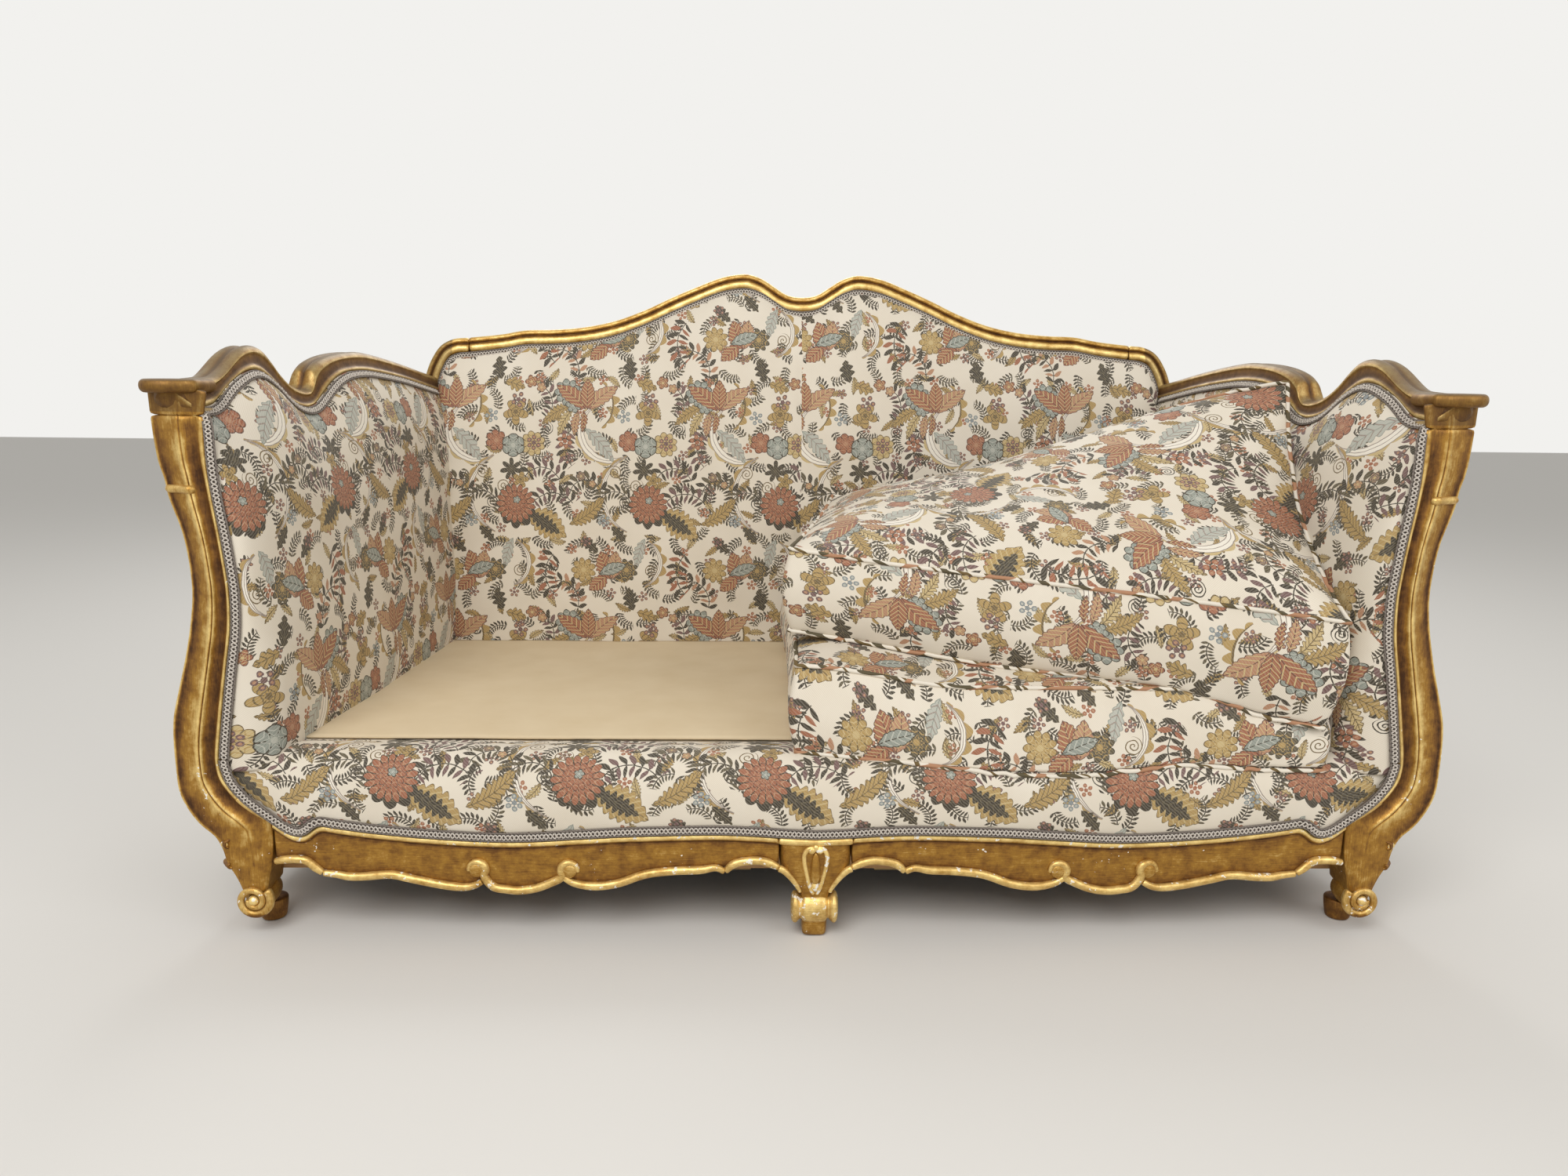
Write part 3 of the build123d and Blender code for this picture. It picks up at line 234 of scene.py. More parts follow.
def carried(path: Sequence[Vector], facing: Vector, section: Section) -> list[list[Vector]]:
    """Carry a moulding's section along a path that lies in a plane.

    Args:
        path: Points of the path.
        facing: The way that the plane faces.
        section: Points as (towards the facing, square to the path, how worn with painted highlight and
            shade), in millimetres.

    Returns:
        The rings of the moulding.
    """
    rings = []
    for i, point in enumerate(path):
        across = heading(path, i).cross(facing)
        rings.append([point + facing * a * MM + across * b * MM for a, b, _ in section])
    return rings


def wear_and_shade_of(section: Section) -> list[float]:
    """Return how worn each point of a section is, which also sets its painted highlight and painted shade."""
    return [wear_and_shade for _, _, wear_and_shade in section]


def cord(bm: BMesh, path: Sequence[Vector], radius: Callable[[float], float], sides: int = 8,
         closed: bool = False, wear_and_shade: float = 0.0) -> None:
    """Draw a round cord along a path.

    Args:
        bm: The mesh that gets the cord.
        path: Points of the cord's middle.
        radius: The cord's radius at each share of its length.
        sides: Points around the cord.
        closed: Whether the cord's end meets its start.
        wear_and_shade: How worn the cord is; high values also paint a highlight on it, low ones painted
            shade.
    """
    count = len(path)
    rings = []
    side = None
    for i, point in enumerate(path):
        along = (path[(i + 1) % count] - path[i - 1]).normalized() if closed else heading(path, i)
        side = along.orthogonal() if side is None else side - along * side.dot(along)
        side = side.normalized()
        other = along.cross(side)
        size = radius(i / (count - 1))
        turn = math.tau / sides
        rings.append([
            point + (side * math.cos(k * turn) + other * math.sin(k * turn)) * size for k in range(sides)
        ])
    loft(bm, rings, [wear_and_shade] * sides, closed)


def button(bm: BMesh, centre: Vector, reach: Vector, wear_and_shade: float = 0.3) -> None:
    """Add a domed knob.

    Args:
        bm: The mesh that gets the knob.
        centre: The knob's middle.
        reach: Its half sizes along the three axes.
        wear_and_shade: How worn it is; high values also paint a highlight on it, low ones painted shade.
    """
    place = Matrix.Translation(centre) @ Matrix.Diagonal(reach.to_4d())
    made = bmesh.ops.create_uvsphere(bm, u_segments=18, v_segments=10, radius=1.0, matrix=place)
    for vert in made["verts"]:
        vert[bm.verts.layers.float[WEAR_AND_SHADE]] = wear_and_shade


def round_rims(bm: BMesh, verts: Sequence[BMVert], offset: float, segments: int) -> None:
    """Round off the level edges that meet at some points.

    Args:
        bm: The mesh.
        verts: The points.
        offset: How far the rounding reaches.
        segments: Faces across the rounding.
    """
    rims = {e for v in verts for e in v.link_edges if abs(e.verts[0].co.z - e.verts[1].co.z) < MM}
    bmesh.ops.bevel(bm, geom=list(rims), offset=offset, affect="EDGES", segments=segments, profile=0.5,
                    material=-1)


def padded_panel(columns: int, rows: int, surface: Surface, behind: Callable[[Vector], Vector]
                 ) -> BMesh:
    """Make a padded panel: its front is a grid laid on a surface, and its back lies on the frame.

    Args:
        columns: Faces from side to side.
        rows: Faces from bottom to top.
        surface: Gives a point and its place on the cloth for two shares of 0 to 1.
        behind: Gives the place of the back for a point of the front.

    Returns:
        The closed panel.
    """
    bm = new_mesh()
    cloth = bm.loops.layers.uv[CLOTH_MAP]
    bmesh.ops.create_grid(bm, x_segments=columns, y_segments=rows, size=0.5)
    for face in bm.faces:
        middle = face.calc_center_median()
        for loop in face.loops:
            near = loop.vert.co.lerp(middle, 0.01)
            loop[cloth].uv = surface(near.x + 0.5, near.y + 0.5)[1:]
    for vert in bm.verts:
        vert.co = surface(vert.co.x + 0.5, vert.co.y + 0.5)[0]
    made = bmesh.ops.extrude_face_region(bm, geom=bm.faces[:], use_keep_orig=True)["geom"]
    for item in made:
        if isinstance(item, BMVert):
            item.co = behind(item.co)
    return bm


def new_object(name: str, data: ID) -> Object:
    """Return a new object in the scene.

    Args:
        name: The object's name.
        data: The mesh, lamp or camera that it shows.

    Returns:
        The object.
    """
    item = bpy.data.objects.new(name, data)
    bpy.context.scene.collection.objects.link(item)
    return item


def make_piece(name: str, bm: BMesh, material: Material, slot: str,
               replaces: Sequence[str] = (), body: str = FRAME, levels: int = 1, crease: float = NO_FOLD
               ) -> Object:
    """Turn a mesh into a finished piece of the sofa.

    Args:
        name: The piece's name.
        bm: Its mesh, which is freed.
        material: Its finish.
        slot: Name of the slot that it would belong to; not used.
        replaces: The solids that it stands in for.
        body: The body that it rides on.
        levels: Levels of subdivision.
        crease: Edges that fold by more than this angle in degrees are drawn sharp.

    Returns:
        The piece.
    """
    bmesh.ops.recalc_face_normals(bm, faces=bm.faces)
    mesh = bpy.data.meshes.new(name)
    for face in bm.faces:
        face.smooth = True
    bm.to_mesh(mesh)
    bm.free()
    if crease < NO_FOLD:
        mesh.set_sharp_from_angle(angle=math.radians(crease))
    mesh.materials.append(material)
    piece = new_object(name, mesh)
    if levels:
        rounding = piece.modifiers.new("Rounding", "SUBSURF")
        rounding.levels = rounding.render_levels = levels
    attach(piece, body)
    if replaces:
        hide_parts(*replaces)
    LOG.info("%s: %d faces", name, len(mesh.polygons))
    return piece


def mirrored(bm: BMesh) -> BMesh:
    """Return the left-hand twin of a right-hand mesh, with its cloth running the same way.

    Args:
        bm: The right-hand mesh.

    Returns:
        The twin.
    """
    twin = bm.copy()
    bmesh.ops.scale(twin, vec=(-1, 1, 1), verts=twin.verts)
    cloth = twin.loops.layers.uv[CLOTH_MAP]
    for face in twin.faces:
        for loop in face.loops:
            loop[cloth].uv.x *= -1
    return twin


def make_pair(name: str, node: str, right: BMesh, material: Material, slot: str,
              fill: float = 0.0, **settings) -> None:
    """Make a right-hand piece and its left-hand twin.

    Args:
        name: The name of both, with braces for the hand.
        node: The name of the solids that they stand in for, with braces for the hand.
        right: The right-hand mesh, which is freed.
        material: Their finish.
        slot: Name of the slot that they would belong to; passed on, but not used.
        fill: How full they are, if they are padded; not used.
        settings: Levels of subdivision and crease, as for a single piece.
    """
    left = mirrored(right)
    for side, bm in ((Side.RIGHT, right), (Side.LEFT, left)):
        piece = make_piece(name.format(side.value), bm, material, slot, [node.format(side.value)], **settings)


# Lines of the frame that several pieces share

POST_FRONT = -0.4375
POST_INNER = Graph(
    (0.165, 0.773), (0.174, 0.800), (0.190, 0.832), (0.2185, 0.866), (0.238, 0.882), (0.258, 0.893),
    (0.278, 0.8965), (0.294, 0.8955), (0.324, 0.891), (0.379, 0.882), (0.430, 0.873), (0.485, 0.863),
    (0.544, 0.860), (0.584, 0.863), (0.626, 0.867), (0.674, 0.873), (0.721, 0.877), (0.784, 0.877),
    (0.810, 0.874),
)
RAIL_LINE = (
    (0.0, 0.166), (0.045, 0.168), (0.091, 0.1713), (0.157, 0.1733), (0.288, 0.1695), (0.360, 0.165),
    (0.466, 0.159), (0.574, 0.1625), (0.669, 0.170), (0.717, 0.1757), (0.741, 0.1792), (0.754, 0.181),
    (0.7645, 0.1765), (0.775, 0.1675), (0.787, 0.1635), (0.799, 0.1655), (0.813, 0.173), (0.832, 0.1885),
)
RAIL_TOP = Graph(*RAIL_LINE)
RAIL_ENDS = -0.4255
RAIL_BOW = 0.022
HALF_WIDTH = 0.97
CLOTH_EDGE = Graph(
    *RAIL_LINE, (0.848, 0.202), (0.866, 0.218), (0.878, 0.232), (0.888, 0.247), (0.8935, 0.260),
    (0.8965, 0.276),
)
CLOTH_END = 0.8965
CREST_TOP = (
    (0.0, 1.028), (0.032, 1.033), (0.060, 1.050), (0.088, 1.067), (0.121, 1.076), (0.171, 1.069),
    (0.222, 1.050), (0.283, 1.024), (0.341, 0.997), (0.407, 0.973), (0.474, 0.959), (0.540, 0.953),
    (0.600, 0.951), (0.651, 0.942), (0.724, 0.934),
)
CORNER_TOP = ((0.724, 0.934), (0.755, 0.931), (0.784, 0.916), (0.806, 0.884), (0.818, 0.853), (0.827, 0.820))
CREST_HEIGHT = 0.034
ARM_STATIONS = (
    (0.0, 0.845, 0.0, 0.803), (0.060, 0.848, 0.050, 0.806), (0.086, 0.851, 0.069, 0.8175),
    (0.112, 0.8625, 0.092, 0.834), (0.147, 0.8865, 0.122, 0.848), (0.170, 0.8955, 0.143, 0.8545),
    (0.193, 0.8970, 0.163, 0.857), (0.2135, 0.8915, 0.185, 0.852), (0.2315, 0.8785, 0.215, 0.837),
    (0.2535, 0.859, 0.244, 0.818),
    (0.2824, 0.840, 0.274, 0.803), (0.312, 0.830, 0.307, 0.7965), (0.342, 0.828, 0.330, 0.7995),
    (0.352, 0.836, 0.345, 0.8055), (0.357, 0.848, 0.358, 0.813), (0.364, 0.862, 0.373, 0.8215),
    (0.385, 0.8746, 0.405, 0.840), (0.430, 0.8862, 0.445, 0.8535), (0.490, 0.893, 0.500, 0.858),
    (0.5463, 0.894, 0.556, 0.856), (0.6778, 0.8795, 0.672, 0.8445), (0.826, 0.857, 0.815, 0.8235),
    (0.886, 0.848, 0.880, 0.8125),
)
ARM_TAPER = math.radians(7.4)
ARM_START = Vector((0.922, POST_FRONT, 0))
ARM_ALONG = Vector((-math.sin(ARM_TAPER), math.cos(ARM_TAPER), 0))
ARM_OUT = Vector((math.cos(ARM_TAPER), math.sin(ARM_TAPER), 0))
ARM_HALF = 0.028
ARM_EDGE = Graph(*[station[2:] for station in ARM_STATIONS])
BACK_RAKE = math.radians(4)
BACK_FOOT = 0.36715
BACK_FACING = Vector((0, -math.cos(BACK_RAKE), math.sin(BACK_RAKE)))
BACK_SPLAY = Graph((0.0, 0.040), (0.05, 0.028), (0.10, 0.010), (0.15, 0.0), (1.0, 0.0))


def back_y(height: float) -> float:
    """Return where the front of the back frame is at a height."""
    return BACK_FOOT + height * math.tan(BACK_RAKE)


def rail_front(x: float) -> float:
    """Return where the bowed face of the front rail is."""
    return RAIL_ENDS - RAIL_BOW * (1 - (x / HALF_WIDTH) ** 2)


def arm_point(along: float, height: float, out: float = 0.0) -> Vector:
    """Return a point in the upright plane of the right arm."""
    return ARM_START + ARM_ALONG * along + ARM_OUT * out + UP * height


# Finishes

def linear(hex_colour: str) -> tuple[float, float, float, float]:
    """Return a shader's colour for an sRGB hex value."""
    shares = [int(hex_colour[i:i + 2], 16) / 255 for i in (1, 3, 5)]
    return (*(s / 12.92 if s <= 0.04045 else ((s + 0.055) / 1.055) ** 2.4 for s in shares), 1.0)


def set_inputs(node: Node, inputs: dict) -> None:
    """Give a node's inputs their values and links.

    Args:
        node: The node.
        inputs: A value, a wire or an output socket for each named or numbered input.
    """
    for key, value in inputs.items():
        value = value.socket if isinstance(value, Wire) else value
        if isinstance(value, NodeSocket):
            node.id_data.links.new(value, node.inputs[key])
        else:
            node.inputs[key].default_value = value


def add_node(tree: NodeTree, kind: str, inputs: dict | None = None, **settings) -> Node:
    """Add a node with its settings, values and links.

    Args:
        tree: The tree that gets the node.
        kind: The node's type, without the words that all shader nodes begin with.
        inputs: A value, a wire or an output socket for each named or numbered input.
        settings: The node's own properties.

    Returns:
        The node.
    """
    node = tree.nodes.new(kind if kind.startswith("NodeGroup") else f"ShaderNode{kind}")
    for name, value in settings.items():
        setattr(node, name, value)
    set_inputs(node, inputs or {})
    return node


def new_material(name: str) -> tuple[Material, NodeTree, Node]:
    """Return a new material, its node tree and its main shader.

    Args:
        name: The material's name.

    Returns:
        The material, the tree and the shader.
    """
    material = bpy.data.materials.new(name)
    material.use_nodes = True
    tree = material.node_tree
    return material, tree, tree.nodes["Principled BSDF"]


@dataclass(frozen=True)
class Wire:
    """A number that flows through a node tree, with the sums that the motifs need."""

    socket: NodeSocket

    def reckon(self, operation: str, *others: "Wire | float") -> "Wire":
        """Return the result of an operation on this number and others."""
        values = dict(enumerate((self, *others)))
        return Wire(add_node(self.socket.id_data, "Math", values, operation=operation).outputs[0])

    __add__ = partialmethod(reckon, "ADD")
    __sub__ = partialmethod(reckon, "SUBTRACT")
    __mul__ = partialmethod(reckon, "MULTIPLY")
    __truediv__ = partialmethod(reckon, "DIVIDE")
    __lt__ = partialmethod(reckon, "LESS_THAN")
    __gt__ = partialmethod(reckon, "GREATER_THAN")
    __or__ = partialmethod(reckon, "MAXIMUM")
    size = partialmethod(reckon, "ABSOLUTE")

    def wave(self) -> "Wire":
        """Return the size of the sine, which makes a row of lobes."""
        return self.reckon("SINE").size()


@dataclass(frozen=True)
class PlainCloth:
    """A plain woven cloth: over and under threads, a little uneven in colour."""

    name: str
    colour: str
    shade: str
    thread: float = 1.6 * MM
    roughness: float = 0.9

    def material(self) -> Material:
        """Return the cloth as a material.

        Returns:
            The material.
        """
        material, tree, shader = new_material(self.name)
        place = add_node(tree, "TexCoord").outputs["Object"]
        cloud = add_node(tree, "TexNoise", {"Vector": place, "Scale": 14.0, "Detail": 5.0}).outputs["Fac"]
        threads = {"Vector": place, "Scale": WAVE_SCALE / self.thread, "Distortion": 0.6}
        warp, weft = (add_node(tree, "TexWave", threads, bands_direction=way).outputs["Fac"] for way in "XY")
        tone = Wire(cloud).reckon("MULTIPLY_ADD", Wire(warp) * Wire(weft), -0.1)
        mix = add_node(tree, "Mix", {"Factor": cloud, "A": linear(self.shade), "B": linear(self.colour)},
                       data_type="RGBA")
        bump = add_node(tree, "Bump", {"Height": tone, "Strength": 0.25, "Distance": 0.4 * MM})
        set_inputs(shader, {"Base Color": mix.outputs["Result"], "Normal": bump.outputs[0],
                            "Roughness": self.roughness})
        return material


@dataclass(frozen=True)
class Wood:
    """Planed wood with long grain."""

    name: str
    light: str
    dark: str
    grain: float = 6 * MM

    def material(self) -> Material:
        """Return the wood as a material.

        Returns:
            The material.
        """
        material, tree, shader = new_material(self.name)
        place = add_node(tree, "TexCoord").outputs["Object"]
        stretch = add_node(tree, "Mapping", {"Vector": place, "Scale": (0.12, 1.0, 1.0)}).outputs[0]
        grain = add_node(tree, "TexNoise", {"Vector": stretch, "Scale": 1 / self.grain, "Detail": 6.0,
                                            "Distortion": 0.4}).outputs["Fac"]
        mix = add_node(tree, "Mix", {"Factor": grain, "A": linear(self.dark), "B": linear(self.light)},
                       data_type="RGBA")
        bump = add_node(tree, "Bump", {"Height": grain, "Strength": 0.2, "Distance": 0.3 * MM})
        set_inputs(shader, {"Base Color": mix.outputs["Result"], "Normal": bump.outputs[0], "Roughness": 0.6})
        return material


@dataclass(frozen=True)
class GiltWood:
    """Old gold leaf on gesso over carved wood: light on the worn edges, with a painted highlight, brown in
    the hollows, partly grime and partly painted shade, chipped to white.

    The leaf is dull and reddish where it has worn thin, dust greys the tops, and small chips show the gesso.
    """

    name: str = "Giltwood"
    gold: str = "#A67A30"
    # bright is the colour of worn edges with a painted highlight; brown is the hollows' grime and painted
    # shade.
    bright: str = "#F2D48A"
    brown: str = "#472B13"
    bole: str = "#7A5222"
    gesso: str = "#EAE4D6"
    dust: str = "#6F5F4A"
    grime: str = "#4E3820"
    mottle: float = 22 * MM
    scratch: float = 1.6 * MM
    chip: float = 7 * MM
    chip_patch: float = 90 * MM
    posts_from: float = 0.831
    arms_from: float = 0.757
    arms_above: float = 0.80

    def leaf(self, tree: NodeTree, place: NodeSocket, wear_and_shade: Wire) -> Wire:
        """Return the leaf's lightness, from how worn it is with its painted highlight and shade, soft
        mottling and fine scratches.

        Args:
            tree: The material's node tree.
            place: The place on the frame.
            wear_and_shade: How worn the gilding is there, which also paints a highlight on edges and shade in
                hollows.

        Returns:
            The brightness.
        """
        mottle = add_node(tree, "TexNoise", {"Vector": place, "Scale": 1 / self.mottle, "Detail": 8.0,
                                             "Roughness": 0.7})
        scratches = []
        for stretch in ((0.08, 1.0, 1.0), (1.0, 1.0, 0.08)):
            drawn = add_node(tree, "Mapping", {"Vector": place, "Scale": stretch}).outputs[0]
            scratches.append(add_node(tree, "TexNoise", {
                "Vector": drawn, "Scale": 1 / self.scratch, "Detail": 2.0}).outputs["Fac"])
        across = Wire(add_node(tree, "SeparateXYZ", {0: place}).outputs[0]).size()
        scratch = add_node(tree, "Mix", {"Factor": across > self.posts_from, "A": scratches[0],
                                         "B": scratches[1]}, data_type="FLOAT")
        tone = Wire(mottle.outputs["Fac"]) * 1.3 + Wire(scratch.outputs[0]) * 0.45
        # The worn term also paints edges lighter as a highlight and hollows darker as shade.
        return tone - 0.87 + wear_and_shade.reckon("MINIMUM", 1.0) * 0.52

    def material(self) -> Material:
        """Return the gilding as a material.

        Returns:
            The material.
        """
        material, tree, shader = new_material(self.name)
        place = add_node(tree, "TexCoord").outputs["Object"]
        wear_and_shade = Wire(add_node(tree, "Attribute", attribute_name=WEAR_AND_SHADE).outputs["Fac"])
        tone = self.leaf(tree, place, wear_and_shade)
        # The ramp runs from brown in the hollows, partly painted shade, through bole and gold to the painted
        # highlight on worn edges.
        spread = add_node(tree, "MapRange", {"Value": tone, "From Min": -0.75, "From Max": 0.75}).outputs[0]
        ramp = add_node(tree, "ValToRGB", {"Fac": spread})
        band = ramp.color_ramp
        band.elements[0].color = linear(self.brown)
        band.elements[0].position = 0.10
        band.elements[1].color = linear(self.bright)
        band.elements[1].position = 0.92
        for position, colour in ((0.34, self.bole), (0.56, self.gold)):
            band.elements.new(position).color = linear(colour)
        across, _, height = (Wire(output) for output in add_node(tree, "SeparateXYZ", {0: place}).outputs)
        normal = add_node(tree, "NewGeometry").outputs["Normal"]
        facing = add_node(tree, "SeparateXYZ", {0: normal}).outputs[2]
        upward = add_node(tree, "MapRange", {"Value": facing, "From Min": 0.55, "From Max": 0.98}).outputs[0]
        handled = (across.size() > self.arms_from) * (height > self.arms_above)
        dust = handled * 0.85 * Wire(upward)
        flecks = add_node(tree, "TexNoise", {"Vector": place, "Scale": 1 / self.chip, "Detail": 3.0})
        where = add_node(tree, "TexNoise", {"Vector": place, "Scale": 1 / self.chip_patch, "Detail": 1.0})
        low = height.reckon("MULTIPLY_ADD", -0.35, 0.08) | -0.1
        chipped = Wire(flecks.outputs["Fac"]) + Wire(where.outputs["Fac"]) * 0.5 + wear_and_shade * 0.11 + low > 1.04
        colour = ramp.outputs["Color"]
        for share, layer in ((handled * 0.5, self.grime), (dust, self.dust), (chipped, self.gesso)):
            colour = add_node(tree, "Mix", {"Factor": share, "A": colour, "B": linear(layer)},
                              data_type="RGBA").outputs["Result"]
        rough = add_node(tree, "MapRange", {"Value": tone, "From Min": -0.6, "From Max": 0.6, "To Min": 0.62,
                                            "To Max": 0.34})
        bump = add_node(tree, "Bump", {"Height": tone, "Strength": 0.22, "Distance": 0.8 * MM})
        set_inputs(shader, {
            "Base Color": colour, "Metallic": (chipped * -1.0 + 1.0) * (dust * -0.7 + 1.0) * 0.6,
            "Roughness": rough.outputs[0], "Normal": bump.outputs[0]})
        return material


@dataclass(frozen=True)
class GimpBraid:
    """A flat braid of cotton cord, dark at its edges and pale where its strands cross."""

    name: str = "Gimp_braid"
    dark: str = "#5B5048"
    pale: str = "#C0B7AC"
    twist: float = 2.6 * MM

    def material(self) -> Material:
        """Return the braid as a material.

        Returns:
            The material.
        """
        material, tree, shader = new_material(self.name)
        place = add_node(tree, "TexCoord").outputs["Object"]
        wear_and_shade = add_node(tree, "Attribute", attribute_name=WEAR_AND_SHADE).outputs["Fac"]
        tone = add_node(tree, "MapRange", {"Value": wear_and_shade, "From Min": -1.0, "From Max": 1.0}).outputs[0]
        twist = add_node(tree, "TexWave", {"Vector": place, "Scale": WAVE_SCALE / self.twist,
                                           "Distortion": 1.5}, bands_direction="DIAGONAL").outputs
        mix = add_node(tree, "Mix", {"Factor": tone, "A": linear(self.dark), "B": linear(self.pale)},
                       data_type="RGBA")
        spun = add_node(tree, "Mix", {"Factor": 0.35, "A": mix.outputs["Result"], "B": twist["Color"]},
                        data_type="RGBA", blend_type="SOFT_LIGHT")
        bump = add_node(tree, "Bump", {"Height": twist["Fac"], "Strength": 0.3, "Distance": 0.4 * MM})
        set_inputs(shader, {"Base Color": spun.outputs["Result"], "Normal": bump.outputs[0],
                            "Roughness": 0.85})
        return material


@dataclass(frozen=True)
class SpringSteel:
    """Drawn steel wire with a thin copper wash that has gone brown in places."""

    name: str = "Coppered_steel"
    steel: str = "#9A928A"
    copper: str = "#8A5F45"
    patch: float = 15 * MM

    def material(self) -> Material:
        """Return the steel as a material.

        Returns:
            The material.
        """
        material, tree, shader = new_material(self.name)
        place = add_node(tree, "TexCoord").outputs["Object"]
        worn = add_node(tree, "TexNoise", {"Vector": place, "Scale": 1 / self.patch,
                                           "Detail": 6.0}).outputs["Fac"]
        mix = add_node(tree, "Mix", {"Factor": worn, "A": linear(self.steel), "B": linear(self.copper)},
                       data_type="RGBA")
        rough = add_node(tree, "MapRange", {"Value": worn, "To Min": 0.25, "To Max": 0.6})
        set_inputs(shader, {"Base Color": mix.outputs["Result"], "Roughness": rough.outputs[0],
                            "Metallic": 1.0})
        return material


class Thread(Enum):
    """The coloured silks of the brocade."""

    CORAL = "#92583A"
    ROSE = "#A97C5C"
    RUST = "#573222"
    OCHRE = "#A5884F"
    STRAW = "#BBA472"
    BRONZE = "#66522B"
    OLIVE = "#2E2513"
    MOSS = "#51472F"
    SLATE = "#858A80"
    MIST = "#ACACA0"
    TAUPE = "#8E8176"
    MAUVE = "#674A47"
    BLUE = "#7A8182"
    IVORY = "#E2DACB"


Values = dict[str, Wire]
Drawing = tuple[Wire, Wire, Wire]


def draw_leaf(v: Values) -> Drawing:
    """Draw a toothed leaf from its foot at 0 to its tip at 1, with veins.

    Args:
        v: The motif's numbers by name, with x, y, reach and angle for the place in it.

    Returns:
        Where the motif covers the ground, where its edge lies and where its heart lies.
    """
    bent = (v["x"].reckon("MULTIPLY", v["x"]).reckon("MULTIPLY_ADD", v["Bend"], v["y"])).size()
    lobes = (v["x"] * v["Teeth"]).wave()
    bite = lobes.reckon("MULTIPLY_ADD", v["Bite"], v["Keep"])
    edge = (v["x"] - v["x"] * v["x"]) * v["Girth"] * bite
    veins = ((v["x"] - bent) * v["Teeth"]).wave() < 0.34
    rim = ((edge - bent) < v["Line"]) | (bent < v["Line"] * 0.5)
    return bent < edge, rim, veins * (edge - bent > v["Line"])


def draw_flower(v: Values) -> Drawing:
    """Draw a round flower with tiers of pointed petals, lightly edged, and a heart.

    Args:
        v: The motif's numbers by name, with x, y, reach and angle for the place in it.

    Returns:
        Where the motif covers the ground, where its edge lies and where its heart lies.
    """
    lobes = (v["angle"] * v["Petals"]).wave()
    edge = lobes.reckon("MULTIPLY_ADD", v["Bite"], v["Keep"])
    reach = v["reach"] / edge
    tiers = (reach * 3.1 + lobes * 1.2).reckon("FRACT") < 0.24
    folds = (lobes < 0.25) * (reach > 0.45)
    rim = reach > (v["Line"] * -1.2 + 1.0)
    return reach < 1.0, folds | rim, (tiers * (reach < 0.9)) | (reach < 0.22)


def draw_band(v: Values) -> Drawing:
    """Draw a curved band that tapers to both ends, with a scalloped fringe on its outer side.

    Args:
        v: The motif's numbers by name, with x, y, reach and angle for the place in it.

    Returns:
        Where the motif covers the ground, where its edge lies and where its heart lies.
    """
    share = v["angle"] / v["Sweep"]
    taper = (share * share).reckon("MULTIPLY_ADD", -0.8, 1.0)
    off = v["reach"] - 1.0
    half = taper * v["Girth"]
    inside = share.size() < 1.0
    band = off.size() < half
    out = (off - half) / (taper * v["Fringe"])
    lobe = (v["angle"] * v["Scallops"]).wave()
    fringe = (out < lobe) * (out > 0.0)
    edges = (off.size() > half - v["Line"]) | (off.size() < v["Line"] * 0.4)
    return (band | fringe) * inside, edges * band | (out > lobe - 0.3) * fringe, fringe


def draw_sprig(v: Values) -> Drawing:
    """Draw a curved stem with pairs of leaves, every other pair in the second colour.

    Args:
        v: The motif's numbers by name, with x, y, reach and angle for the place in it.

    Returns:
        Where the motif covers the ground, where its edge lies and where its heart lies.
    """
    off = (v["reach"] - 1.0).size()
    inside = v["angle"].size() < v["Sweep"]
    stem = off < v["Line"] * 0.6
    place = off / v["Length"]
    cell = v["angle"] * v["Leaves"] - place * v["Slant"]
    lens = (place - place * place) * 1.35
    leaf = (cell.reckon("FRACT") - 0.5).size() < lens
    other = (cell * 0.5).reckon("FRACT") > 0.5
    return (stem | leaf) * inside, stem, other * (place > 0.12)


def draw_berries(v: Values) -> Drawing:
    """Draw a ring of berries on thin stalks round one in the middle.

    Args:
        v: The motif's numbers by name, with x, y, reach and angle for the place in it.

    Returns:
        Where the motif covers the ground, where its edge lies and where its heart lies.
    """
    turn = (v["angle"] * v["Count"]).reckon("FRACT") - 0.5
    off = turn / v["Count"] * v["reach"]
    ring = v["reach"] - 0.66
    near = (off * off + ring * ring) < 0.075
    middle = v["reach"] < 0.26
    stalk = (off.size() < v["Line"] * 0.4) * (v["reach"] < 0.7)
    shine = (off * off + ring * ring) < 0.018
    return near | middle | stalk, stalk * ((near | middle) * -1.0 + 1.0), shine * near


def draw_curl(v: Values) -> Drawing:
    """Draw a tendril that winds up into a spiral.

    Args:
        v: The motif's numbers by name, with x, y, reach and angle for the place in it.

    Returns:
        Where the motif covers the ground, where its edge lies and where its heart lies.
    """
    wind = (v["reach"] * v["Turns"] - v["angle"] / 6.2832).reckon("FRACT")
    line = (wind - 0.5).size() < (v["Line"] * v["Turns"] * 0.6)
    return line * (v["reach"] < 1.0), line, line


